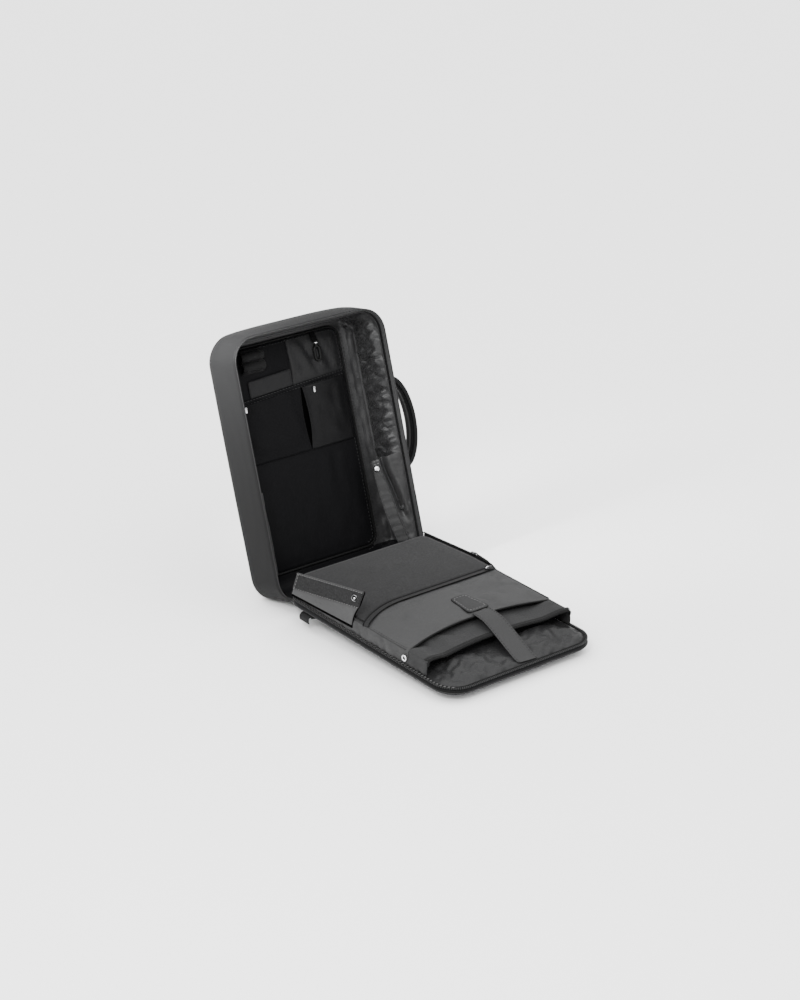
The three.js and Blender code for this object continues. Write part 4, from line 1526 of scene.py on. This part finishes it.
@dataclass
class Sleeve:
    """The padded laptop sleeve and the tablet pocket on it."""

    half: float = 144.5
    start: float = 12.0
    low: float = 11.3
    top: float = 29.4
    mouth_corner: float = 352.0
    mouth_middle: float = 332.0
    upper_half: float = 145.2
    upper_top: float = 37.4
    upper_corner: float = 308.0
    upper_middle: float = 281.0
    facet: float = 2.6
    crease: float = 101.0
    lug: float = 8.2
    hem_width: float = 7.5
    nest: float = 3.5
    soft_band: Point = (262.0, 304.0)
    slope_band: Point = (150.0, 205.0)
    lug_band: Point = (290.0, 308.0)
    lug_side: Point = (92.0, 138.0)
    nest_band: Point = (292.0, 306.0)
    rounding: float = 3.0
    thickness: float = 1.4
    ripples: Creases = Creases(2.3, (60.0, 11.0), 1.9)
    run: ClothRun = ClothRun(growth=0.03, bending=4.0, cap=1.8)

    def mouth(self, x: float, upper: bool) -> float:
        """Distance of a mouth from the hinge at a place across it."""
        corner = self.upper_corner if upper else self.mouth_corner
        middle = self.upper_middle if upper else self.mouth_middle
        return middle + (corner - middle) * (x / self.half) ** 2

    def slope(self, x: float, distance: float) -> float:
        """How far the tablet pocket's left side falls away at a place."""
        across = max(0.0, -x - self.crease) / (self.upper_half - self.crease)
        firm = 1.0 - 0.5 * ease(distance, *self.soft_band)
        return self.facet * across * firm * ease(distance, *self.slope_band)

    def rise(self, x: float, distance: float) -> float:
        """How far the laptop sleeve's far end stands up at its sides."""
        return self.lug * ease(distance, *self.lug_band) * ease(abs(x), *self.lug_side)

    def bag(self, upper: bool) -> BMesh:
        """A flat bag with no floor, open at its far end.

        Args:
            upper: Whether it is the tablet pocket.

        Returns:
            Its mesh, whose faces look outwards.
        """
        half = self.upper_half if upper else self.half
        top = self.upper_top if upper else self.top
        low = self.low + 0.8 if upper else self.low
        corner = self.upper_corner if upper else self.mouth_corner
        start = self.start if upper else self.start + self.nest
        bm = block((-half, -corner, low), (half, -start, top))
        for side, radius in ((-1, LEFT_CORNER), (1, RIGHT_CORNER)):
            edges = edges_along(bm, 2, lambda c: c.y > -start - 1 and c.x * side > half - 1)
            round_edges(bm, edges, radius, 8)
        gone = [*faces_towards(bm, (0, -1, 0)), *faces_towards(bm, (0, 0, -1))]
        bmesh.ops.delete(bm, geom=gone, context="FACES")
        round_edges(bm, border_of(faces_towards(bm, UP)), self.rounding, 3)
        slice_grid(bm, 0, -half, half, 6.0)
        slice_grid(bm, 1, -corner, -start, 6.0)
        slice_grid(bm, 2, low, top - self.rounding, 4.0)
        for vert in bm.verts:
            if vert.co.z > top - 2.9:
                share = (self.mouth(vert.co.x, upper) - start) / (corner - start)
                vert.co.y = -start + (vert.co.y + start) * share
                if upper:
                    vert.co.z -= self.slope(vert.co.x, -vert.co.y)
            if not upper:
                vert.co.z += self.rise(vert.co.x, -vert.co.y) * (vert.co.z - low) / (top - low)
                nested = self.nest * (1.0 - ease(-vert.co.y, *self.nest_band))
                vert.co.x *= 1.0 - nested / half
            vert.co.x = tapered(vert.co.x, -vert.co.y)
        return bm

    def binding(self, name: str, upper: bool) -> None:
        """A dark bound hem along a mouth."""
        half = self.half - 1.0
        radius = 1.5 if upper else 2.0
        top = (self.upper_top if upper else self.top) - radius + 0.9
        line = []
        for share in shares(40):
            x = half - 2 * half * share
            distance = self.mouth(x, upper)
            fall = self.slope(x, distance) if upper else -self.rise(x, distance)
            line.append(Vector((x, -distance, top - fall)))
        if not upper:
            band = flat_profile(-self.hem_width, 0.0, 1.3, 2.5)
            swept("laptop_mouth_band", band, along(line, 5.0), LID, PIPING)
        for x in (-half, half):
            fall = self.slope(x, HEIGHT) if upper else -self.rise(x, HEIGHT)
            for drop in (3.0, 7.0):
                foot = Vector((x, -self.mouth(x, upper) - 0.4, top - fall - drop))
                line.insert(len(line) if x < 0 else 0, foot)
        cord = round_profile(radius, SIDES)
        route = along(line, 5.0, Vector((0, 1, 0)))
        swept(name, cord, route, LID, PIPING, sharp=60.0)

    def build(self) -> None:
        """Makes both bags and their bound mouths."""
        for upper in (False, True):
            self.cloth(upper)
        self.binding("laptop_mouth_hem", False)
        self.binding("tablet_mouth_hem", True)
        self.seams()

    def cloth(self, upper: bool) -> None:
        """One bag's cloth, rippled along its sides and settled by simulation."""
        name = "tablet_pocket" if upper else "laptop_sleeve"
        top = self.upper_top if upper else self.top
        corner = self.upper_corner if upper else self.mouth_corner
        start = Creases(0.8, (50.0, 26.0), 3.7 if upper else 8.1)
        bm = self.bag(upper)

        def height(vert: BMVert) -> float:
            """Height of the ripples on the sides and of the shallow folds on top."""
            place = vert.co
            if place.z > top - 4.5:
                return start.height(place.x, place.y)
            return self.ripples.height(place.z, place.y) * ease(place.z, self.low, self.low + 6)

        lift(bm, height)
        finish = POCKET if upper else SLEEVE
        piece = make_piece(f"{name}_cloth", bm, LID, finish, [name], sharp=60.0)
        hem = 2.0 if upper else self.hem_width + 2.5

        def held(spot: Vector) -> float:
            """Holds the cloth at the foot, at the mouth and where the felt lies on it."""
            under = -spot.y < 184.0 + 30.0 * ease(-spot.x, 48.0, 144.0) and spot.z > top - 2.0
            mouth = -spot.y > self.mouth(spot.x, upper) - hem
            edge = abs(spot.x) > self.half - 8.0 and spot.z > top - 6.0
            return float(under or mouth or edge or spot.z < self.low + 1.5 or -spot.y > corner - 1.0)

        self.run.settle(piece, LID, held)
        thicken(piece, self.thickness)

    def seams(self) -> None:
        """The stitched ridge along the sleeve's upper edges."""
        bm = bmesh.new()
        sewn = Stitching("sleeve_stitches", BAND)
        for side in (-1, 1):
            x = side * (self.upper_half - 1.0)
            line = []
            for share in shares(30):
                distance = 46.0 + 256.0 * share
                height = self.upper_top - 0.2 - self.slope(x, distance)
                line.append(Vector((tapered(x, distance), -distance, height)))
            sweep(bm, round_profile(1.2, SIDES), along(line, 8.0))
            if side < 0:
                sewn.row([point + Vector((3.2, 0, 1.2)) for point in line[14:]], LID)
        make_piece("sleeve_edge_cord", bm, LID, SLEEVE, sharp=60.0)
        sewn.finish()


@dataclass
class FeltPocket:
    """The felt pocket on the sleeve, with its curved zip."""

    half: float = 141.0
    start: float = 15.0
    straight: float = 167.0
    side: float = 198.0
    bend: float = -48.0
    zip_offset: float = 6.4
    zip_width: float = 8.5
    thickness: float = 1.3
    padding: float = 1.2
    fade: float = 22.0
    folds: Creases = Creases(1.0, (60.0, 50.0), 7.3)

    def edge(self, x: float) -> float:
        """Distance of the felt's far edge from the hinge at a place across it."""
        if x > self.bend:
            return self.straight
        # The curve bends evenly from the left side to where it runs straight
        left = -self.half
        control = self.bend - self.half / 3
        a = left - 2 * control + self.bend
        b = 2 * (control - left)
        c = left - x
        t = (-b + math.sqrt(max(0.0, b * b - 4 * a * c))) / (2 * a) if abs(a) > 1e-9 else -c / b
        return self.side * (1 - t) ** 2 + self.straight * (1 - (1 - t) ** 2)

    def build(self) -> None:
        """Makes the felt, the zip with its lips and the slider."""
        far = self.straight
        bm = panel(-self.half, self.half, -far, -self.start, 5.0)
        for vert in bm.verts:
            share = (vert.co.y + self.start) / (self.start - far)
            vert.co.y = -self.start - share * (self.edge(vert.co.x) - self.start)
        trim(bm, outline_of(-self.half, 2 * HEIGHT, -2 * HEIGHT, -self.start, LEFT_CORNER))
        trim(bm, outline_of(-2 * HEIGHT, self.half, -2 * HEIGHT, -self.start, RIGHT_CORNER))

        def height(x: float, y: float) -> float:
            """Height of the padding, which falls to the felt's edges."""
            rim = min(self.half - abs(x), -y - self.start, self.edge(x) + y)
            return ease(rim, 0.0, self.fade) * (self.padding + self.folds.height(x, y))

        raise_flat(bm, height)
        for vert in bm.verts:
            vert.co.x = tapered(vert.co.x, -vert.co.y)
        place = level(SLEEVE_TOP + self.thickness)
        piece = make_piece("felt_cloth", bm, place, FELT, ["felt_panel"])
        thicken(piece, self.thickness)
        self.zip()

    def zip(self) -> None:
        """The zip's band, its two dark lips and its slider."""
        line = []
        for share in shares(80):
            x = self.half - 2 * self.half * share
            line.append(Vector((x, -self.edge(x) - self.zip_offset, SLEEVE_TOP + 0.5)))
        # The left end runs on over the sleeve's edge
        line.append(line[-1] + Vector((-3.4, -2.5, -0.3)))
        line.append(line[-1] + Vector((-1.8, -1.5, -2.6)))
        route = along(line, 5.0)
        half = self.zip_width / 2
        swept("pocket_zip_tape", flat_profile(-half, half, -0.6, 0.9), route, LID, ZIP_BAND, ["pocket_zip"])
        bm = bmesh.new()
        for across, radius in ((half, 0.8), (-half, 1.2)):
            sweep(bm, round_profile(radius, SIDES, (across, 0.5)), route)
        make_piece("pocket_zip_lips", bm, LID, TAPE, sharp=60.0)
        spot = (self.half - 11.0, -self.straight - self.zip_offset, SLEEVE_TOP + 1.9)
        place = LID @ Matrix.Translation(spot) @ turn_by(90.0, "Z")
        slider("pocket_slider", place, "pocket_zip_slider", 6.0)


def slider(name: str, matrix: Matrix, replaces: str, pull: float) -> None:
    """A dark zip slider along Y with a bright bridge, and a flat pull of a length in front of it."""
    bm = rounded_block((-2.8, -4.8, 0.0), (2.8, 4.8, 2.8), (1.9, 3), (0.6, 2))
    tab = plate(outline_of(-1.9, 1.9, -pull - 3.0, -1.5, 1.4), 1.2, 0.4)
    bmesh.ops.translate(tab, vec=(0, 0, 3.0), verts=tab.verts)
    join(bm, tab)
    make_piece(name, bm, matrix, GUNMETAL, [replaces], sharp=45.0)
    line = [Vector((0, y, z)) for y, z in ((-3.0, 2.6), (-1.3, 4.2), (1.3, 4.2), (3.0, 2.6))]
    bow = stations(line, Vector((1, 0, 0)))
    swept(f"{name}_bridge", round_profile(0.8, 6), bow, matrix, STEEL, sharp=45.0)


@dataclass
class ClosingStrap:
    """The strap over the sleeve's mouths and the stitched tab at its end."""

    x: float = 27.0
    width: float = 36.0
    start: float = 275.0
    bend: float = 316.0
    end: float = 394.0
    hem: float = 404.0
    slant: float = 6.5
    tab_near: float = 220.0
    tab_far: float = 272.0
    tab_half: float = 20.0
    tab_taper: float = 0.26
    tab_seam: float = 3.4

    def build(self) -> None:
        """Makes the strap, the tab and their stitches."""
        low = LID_TOP + 3.2
        top = SLEEVE_TOP + 0.9
        drops = [
            (0.0, top),
            (20.0, top + 0.6),
            (self.bend - self.start - 8, top),
            (self.bend - self.start + 10, top - 4.5),
            (self.end - self.start - 16, low + 5.5),
            (self.end - self.start - 2, low + 1.2),
            (self.hem - self.start, low),
        ]
        line = [Vector((0.0, -distance, height)) for distance, height in drops]
        turn = turn_by(-self.slant, "Z")
        place = LID @ shift(self.x, -self.start, 0) @ turn
        points = resample(line, 4.0)
        route = stations(points, Vector((1, 0, 0)))
        half = self.width / 2
        band = [(y, x) for x, y in reversed(flat_profile(-half, half, -0.8, 0.8))]
        soften(swept("strap_band", band, route, place, BAND, ["closing_strap"]))

        sewn = Stitching("strap_stitches", TAB)
        for across in (-half + 2.5, half - 2.5):
            sewn.row([point + Vector((across, 0.0, 1.0)) for point in points], place)
        sewn.finish()
        self.tab()

    def tab(self) -> None:
        """The stitched tab that carries the strap."""
        place = level(SLEEVE_TOP)

        def shaped(inset: float, radius: float) -> list[Point]:
            """The tab's outline within its edge, narrowed towards its near end."""
            half = self.tab_half - inset
            made = []
            for x, y in outline_of(-half, half, -self.tab_far + inset, -self.tab_near - inset, radius):
                near = ease(y, -self.tab_far + 20, -self.tab_near)
                made.append((self.x + x * (1.0 - self.tab_taper * near), y))
            return made

        outline = shaped(0.0, 6.0)
        bm = plate(outline, 2.2, 0.8)
        make_piece("strap_patch", bm, place, TAB, ["strap_tab"])
        route = around(at_height(outline, 0.9), 3.0)
        cord = round_profile(1.25, SIDES)
        swept("strap_patch_edge", cord, route, place, PIPING, sharp=60.0, closed=True)
        inner = shaped(self.tab_seam, 4.0)
        sewn = Stitching("strap_patch_stitches")
        sewn.row(at_height([*inner, inner[0]], 2.5), place)
        sewn.finish()


@dataclass
class LidWing:
    """The wing that stands along the sleeve's left side."""

    base: Point = (27.0, 177.0)
    top: Point = (37.0, 197.0)
    heights: Point = (41.5, 71.5)
    strip: float = 29.0
    seat_x: float = -149.2
    seat_height: float = 17.6
    lean: float = 6.0
    hollow: float = 4.0
    rise: float = 5.0
    foot: float = 0.06
    snap_turn: float = 20.0
    snap_at: Point = (0.91, 0.46)
    bend: Creases = Creases(2.4, (50.0, 30.0), 2.4)

    def matrix(self) -> Matrix:
        """The wing's place: X along the lid, Y up it and Z out of its side."""
        turn = turn_by(self.lean, "Y")
        side = Matrix(((0, 0, -1, 0), (-1, 0, 0, 0), (0, 1, 0, 0), (0, 0, 0, 1)))
        seat = shift(self.seat_x, 0.0, self.seat_height)
        return LID @ seat @ turn @ side

    def spot(self, on: float, up: float) -> Point:
        """A place on the wing from its shares along and up."""
        low = self.base[0] + (self.base[1] - self.base[0]) * on
        high = self.top[0] + (self.top[1] - self.top[0]) * on
        tall = self.heights[0] + (self.heights[1] - self.heights[0]) * on
        hollow = self.hollow * math.sin(math.pi * min(1.0, up / 0.62)) * ease(on, 0.7, 1.0)
        raised = self.rise * on
        return low + (high - low) * up - hollow, raised + (tall - raised) * up

    def build(self) -> None:
        """Makes the wing, its strip, the hem, the snap and the stitches."""
        place = self.matrix()
        bm = panel(0.0, 1.0, 0.0, 1.0, 0.03)
        for vert in bm.verts:
            x, y = self.spot(vert.co.x, self.foot + (1.0 - self.foot) * vert.co.y)
            vert.co = Vector((x, y, 1.0 - self.bend.height(x, y) * math.sin(math.pi * vert.co.y)))
        piece = make_piece("lid_wing_cloth", bm, place, LID_WING_CLOTH, ["lid_wing"], sharp=180.0)
        thicken(piece, 1.2)

        bm = panel(0.0, 1.0, 0.0, 1.0, 0.05)
        for vert in bm.verts:
            x, y = self.upper(vert.co.x, 1.0 - vert.co.y)
            vert.co = Vector((x, y, 2.2))
        thicken(make_piece("lid_wing_loop", bm, place, LOOP_STRIP, ["lid_wing_strip"]), 1.3)
        self.edges(place)
        self.snap(place)

    def edges(self, place: Matrix) -> None:
        """The hem, the stitches and the near-black bands of painted shadow at the wing's foot and far edge,
        at the wing's place.
        """
        bm = bmesh.new()
        rows = ([(share, 0.04) for share in shares(20)], [(0.012, share) for share in shares(10)])
        for row in rows:
            line = at_height([self.upper(*spot) for spot in row], 2.0)
            sweep(bm, flat_profile(-1.3, 1.3, -0.7, 0.8), along(line, 6.0))
        make_piece("lid_wing_hem", bm, place, WING_HEM, sharp=60.0)

        # Near-black bands as painted shadow in the gaps at the wing's foot and along its far edge
        bm = bmesh.new()
        foot = at_height([self.spot(share, 0.02) for share in shares(20)], -0.4)
        far = at_height([self.spot(1.0, share) for share in shares(20)], -0.6)
        for line, half in ((foot, 2.2), (far, 1.9)):
            sweep(bm, flat_profile(-half, half, -0.5, 0.5), along(line, 5.0))
        make_piece("lid_wing_painted_shadow", bm, place, PAINTED_SHADE, sharp=60.0)

        sewn = Stitching("lid_wing_stitches", WING_THREAD, radius=0.7)
        for below, height in ((0.05, 3.0), (0.97, 2.6)):
            sewn.row(at_height([self.upper(share, below) for share in shares(20)], height), place)
        sewn.row(at_height([self.upper(0.03, share) for share in shares(10)], 3.0), place)
        sewn.finish()

    def snap(self, place: Matrix) -> None:
        """The snap with its bright ring and dome, on the wing's place."""
        turn = turn_by(self.snap_turn, "Y")
        seat = place @ Matrix.Translation((*self.upper(*self.snap_at), 2.4)) @ turn
        button = [(0.0, -1.4), (5.9, -1.4), (6.1, 0.6), (5.7, 1.2), (0.0, 1.2)]
        turned("lid_wing_button", button, seat, PLASTIC, ["lid_wing_snap"])
        ring = [(4.5, 1.1), (4.9, 0.9), (5.3, 1.1), (4.9, 1.7), (4.5, 1.1)]
        turned("lid_wing_ring", ring, seat, RING_METAL)
        dome = [(0.0, 1.0), (1.6, 1.0), (1.4, 1.8), (0.0, 2.2)]
        turned("lid_wing_dome", dome, seat, STEEL, steps=16)

    def upper(self, on: float, below: float) -> Point:
        """A place on the strip, from its share along and its share below the upper edge."""
        x, y = self.spot(on, 1.0)
        slide = (self.top[0] - self.base[0]) / self.heights[0]
        return x - slide * below * self.strip, y - below * self.strip


@dataclass
class Trim:
    """Small things on the lid: the ring snap and the standing end of the zip with its pull."""

    ring_x: float = -147.0
    ring_distance: float = 302.0
    ring_height: float = 23.0
    tail_x: float = 148.5
    tail_near: float = 8.0
    tail_bend: float = 120.0
    tail_slope: float = 160.0
    tail_far: float = 214.0
    tail_inset: float = 12.0
    tail_low: float = 13.6
    tail_high: float = 40.0
    tail_tip: float = 15.8
    tail_shut: float = 116.0
    slider_distance: float = 118.0

    def build(self) -> None:
        """Makes the ring snap, the zip's tail, its slider and its pull."""
        turn = turn_by(-90.0, "Y")
        seat = shift(self.ring_x, -self.ring_distance, self.ring_height)
        place = LID @ seat @ turn
        ring = [(2.9, 0.0), (5.2, 0.0), (5.4, 0.7), (4.8, 1.6), (3.6, 1.7), (2.9, 1.0), (2.9, 0.0)]
        turned("ring_snap_metal", ring, place, STEEL, ["ring_snap"])
        # The core is near-black as painted shade in the ring's hollow
        core = [(0.0, 0.1), (3.1, 0.1), (3.0, 0.6), (1.0, 0.5), (0.8, 1.2), (0.0, 1.3)]
        turned("ring_snap_core", core, place, PAINTED_SHADE, steps=20)
        self.tail()
        self.pull()

    def spot(self, distance: float, height: float, aside: float = 0.0) -> Vector:
        """A place on the tail, from its distance from the hinge and its height."""
        share = min(1.0, (distance - self.tail_near) / (self.tail_bend - self.tail_near))
        return Vector((self.tail_x - self.tail_inset * (1.0 - share) + aside, -distance, height))

    def crest(self, distance: float) -> float:
        """Height of the tail's upper edge."""
        share = max(0.0, (distance - self.tail_slope) / (self.tail_far - self.tail_slope))
        return self.tail_high + (self.tail_tip - self.tail_high) * share

    def tail(self) -> None:
        """The standing tape, its outer edge and its teeth up to the slider."""
        tall = self.tail_high - self.tail_low
        bm = panel(self.tail_near, self.tail_far, 0.0, tall, 5.0)
        for vert in bm.verts:
            distance, share = vert.co.x, vert.co.y / tall
            height = self.tail_low + share * (self.crest(distance) - self.tail_low)
            vert.co = self.spot(distance, height, 0.5 * math.sin(distance / 13.0) * share)
        bmesh.ops.recalc_face_normals(bm, faces=bm.faces)
        thicken(make_piece("zip_tail_tape", bm, LID, TAPE, ["zip_tail"]), 1.2)

        steps = [self.tail_near + (self.tail_far - self.tail_near) * share for share in shares(50)]
        line = [self.spot(distance, self.crest(distance) - 0.6, 1.3) for distance in steps]
        cord = round_profile(0.9, SIDES)
        swept("zip_tail_edge", cord, along(line, 5.0), LID, ZIP_BAND, sharp=60.0)

        bm = bmesh.new()
        shut = [self.spot(far, self.tail_high + 0.5) for far in steps if far < self.tail_shut]
        for here in along(shut, 2.1):
            bmesh.ops.create_cube(bm, size=1.0, matrix=here @ Matrix.Diagonal((2.4, 1.4, 1.2, 1.0)))
        make_piece("zip_tail_teeth", bm, LID, TEETH)

    def pull(self) -> None:
        """The slider on the tail and its black tapered pull."""
        seat = Matrix.Translation(self.spot(self.slider_distance, self.tail_high + 0.4))
        slider("rim_slider_metal", LID @ seat, "rim_slider", 6.0)
        rows = ((5.0, 3.4, 0.0), (20.0, 2.9, -0.8), (38.0, 1.6, -2.0))
        line = [
            self.spot(self.slider_distance + on, self.tail_high + over, aside) for on, over, aside in rows
        ]
        route = along(line, 4.0, Vector((1, 0, 0)))
        grown = [
            here @ Matrix.Diagonal((1.0 + 0.5 * share, 1.0 + 0.9 * share, 1.0, 1.0))
            for share, here in zip(shares(len(route) - 1), route)
        ]
        grip = round_profile(1.2, SIDES)
        swept("rim_pull_grip", grip, grown, LID, PLASTIC, ["rim_pull"])


@dataclass
class ShoulderStraps:
    """The padded straps folded flat under the lid, with their webbing."""

    inner: float = 25.0
    outer: float = 80.0
    near: float = 120.0
    far: float = 391.0
    thickness: float = 14.0
    inset: float = 1.5
    held_above: float = -4.0
    run: ClothRun = ClothRun(growth=0.0, bending=4.0, cap=1.2, pressure=4.0)
    band_half: float = 14.0
    end_half: float = 11.5
    end_distance: float = 65.0

    def build(self) -> None:
        """Makes both straps, the webbing and the ends that show at the lid's edge."""
        for side, sign in (("left", -1.0), ("right", 1.0)):
            left, right = sorted((sign * self.inner, sign * self.outer))
            low = (left + self.inset, -self.far + self.inset, -self.thickness + 0.6)
            high = (right - self.inset, -self.near - self.inset, -1.2)
            bm = rounded_block(low, high, (16.0, 6), (3.5, 3))
            slice_grid(bm, 0, left, right, 7.0)
            slice_grid(bm, 1, -self.far, -self.near, 7.0)
            pad = make_piece(f"strap_pad_{side}", bm, LID, COATED, [f"shoulder_strap_{side}"])
            self.run.settle(pad, LID, lambda spot: float(spot.z > self.held_above))
            self.webbing(side, sign)

    def webbing(self, side: str, sign: float) -> None:
        """The woven band from a strap to the lid's edge, and its hanging end."""
        spots = ((52.0, -119.0), (100.0, -92.0), (146.0, -69.0))
        line = [Vector((sign * x, y, -1.4)) for x, y in spots]
        band = flat_profile(-self.band_half, self.band_half, -0.9, 0.9)
        node = [f"strap_webbing_{side}"]
        swept(f"strap_band_{side}", band, along(line, 8.0), LID, DARK_BAND, node)
        curl = ((140.0, -1.4), (149.0, -1.5), (152.6, -3.0), (154.0, -7.0), (153.6, -10.5), (152.0, -13.0))
        line = [Vector((sign * x, -self.end_distance, height)) for x, height in curl]
        route = along(line, 1.5, Vector((0, 1, 0)))
        flat = flat_profile(-self.end_half, self.end_half, -0.9, 0.9)
        end = [(y, x) for x, y in reversed(flat)]
        swept(f"strap_end_{side}", end, route, LID, DARK_BAND, [f"webbing_end_{side}"])


# Studio


@dataclass
class Studio:
    """Floor, lights and camera."""

    azimuth: float = -39.469
    elevation: float = 22.264
    distance: float = 3.98709
    target: Triple = (0.027076, 0.056948, 0.165046)
    lens: float = 90.0
    floor_size: float = 30.0
    floor_tone: float = 0.93
    floor_roughness: float = 0.9
    sky: float = 1.3
    corner: Triple = (-0.17, 0.26, 0.40)

    def build(self) -> None:
        """Sets up the scene round the bag."""
        self.floor()
        self.lights()
        self.camera()

    def floor(self) -> None:
        """A plain pale floor."""
        bm = bmesh.new()
        bmesh.ops.create_grid(bm, x_segments=2, y_segments=2, size=self.floor_size)
        mesh = bpy.data.meshes.new("floor")
        bm.to_mesh(mesh)
        bm.free()
        board = NodeBoard("pale floor")
        board.shader.inputs["Base Color"].default_value = (*(self.floor_tone,) * 3, 1.0)
        board.shader.inputs["Roughness"].default_value = self.floor_roughness
        mesh.materials.append(board.material)
        floor = bpy.data.objects.new("floor", mesh)
        bpy.context.scene.collection.objects.link(floor)

    def lights(self) -> None:
        """Even light all round, a broad one from above, one from the left and a small one at a corner."""
        world = bpy.data.worlds.new("studio")
        world.use_nodes = True
        backdrop = world.node_tree.nodes["Background"]
        backdrop.inputs["Color"].default_value = (1.0, 1.0, 1.0, 1.0)
        backdrop.inputs["Strength"].default_value = self.sky
        bpy.context.scene.world = world
        broad = {"energy": 5.6, "angle": math.radians(110.0)}
        soft = {"energy": 55.0, "shape": "DISK", "size": 0.6}
        small = {"energy": 1.3, "shape": "DISK", "size": 0.15, "spread": math.radians(50.0)}
        lamps = (
            ("overhead", "SUN", broad, (-0.5, -0.2, 3.0), self.target),
            ("key", "AREA", soft, (-1.8, -1.4, 1.9), self.target),
            ("corner", "AREA", small, (-0.45, 0.30, 0.65), self.corner),
        )
        for name, kind, settings, place, target in lamps:
            lamp = bpy.data.lights.new(name, kind)
            for key, value in settings.items():
                setattr(lamp, key, value)
            light = bpy.data.objects.new(name, lamp)
            light.location = place
            aim = Vector(target) - Vector(place)
            light.rotation_euler = aim.to_track_quat("-Z", "Y").to_euler()
            bpy.context.scene.collection.objects.link(light)

    def camera(self) -> None:
        """The camera at the picture's angle."""
        turn = math.radians(self.azimuth)
        tilt = math.radians(self.elevation)
        out = math.cos(tilt)
        back = Vector((math.sin(turn) * out, -math.cos(turn) * out, math.sin(tilt)))
        data = bpy.data.cameras.new("camera")
        data.lens = self.lens
        camera = bpy.data.objects.new("camera", data)
        camera.location = Vector(self.target) + back * self.distance
        camera.rotation_euler = (-back).to_track_quat("-Z", "Y").to_euler()
        bpy.context.scene.collection.objects.link(camera)
        bpy.context.scene.camera = camera


def main() -> None:
    """Builds the bag and its studio."""
    logging.basicConfig(level=logging.INFO, format="%(name)s: %(message)s")
    Studio().build()
    shell_zip = RimZip(
        place=Place.SHELL,
        binding=round_profile(0.9, SIDES, (0.8, 0.0)),
        flap=[(0.9, 0.0), (1.6, 0.2), (3.9, -6.4), (3.2, -6.6)],
        cord=(5.0, -11.8),
        cord_radius=1.4,
        cord_finish=RIM_TAPE,
        tape=[(3.2, -6.3), (3.8, -6.1), (5.0, -10.6), (4.4, -10.8)],
        teeth=(4.5, -8.3),
        tooth=(0.8, 1.4, 1.15),
        pitch=2.1,
        coil=TEETH,
    )
    lid_zip = RimZip(
        place=Place.LID,
        binding=round_profile(1.1, SIDES, (0.5, -6.0)),
        flap=[],
        cord=(5.6, 1.9),
        cord_radius=1.1,
        cord_finish=PIPING,
        tape=[(0.4, 0.2), (6.0, 0.9), (6.0, 1.7), (0.4, 1.0)],
        teeth=(1.9, 1.6),
        tooth=(3.2, 2.2, 1.5),
        pitch=3.4,
        coil=COIL,
        stitches=(2.2, 2.9),
    )
    assemblies = (
        Shell(), shell_zip, Organizer(), ShellWings(), Handle(), Lid(), lid_zip,
        Sleeve(), FeltPocket(), ClosingStrap(), LidWing(), Trim(), ShoulderStraps(),
    )
    for assembly in assemblies:
        assembly.build()


if __name__ == "__main__":
    main()
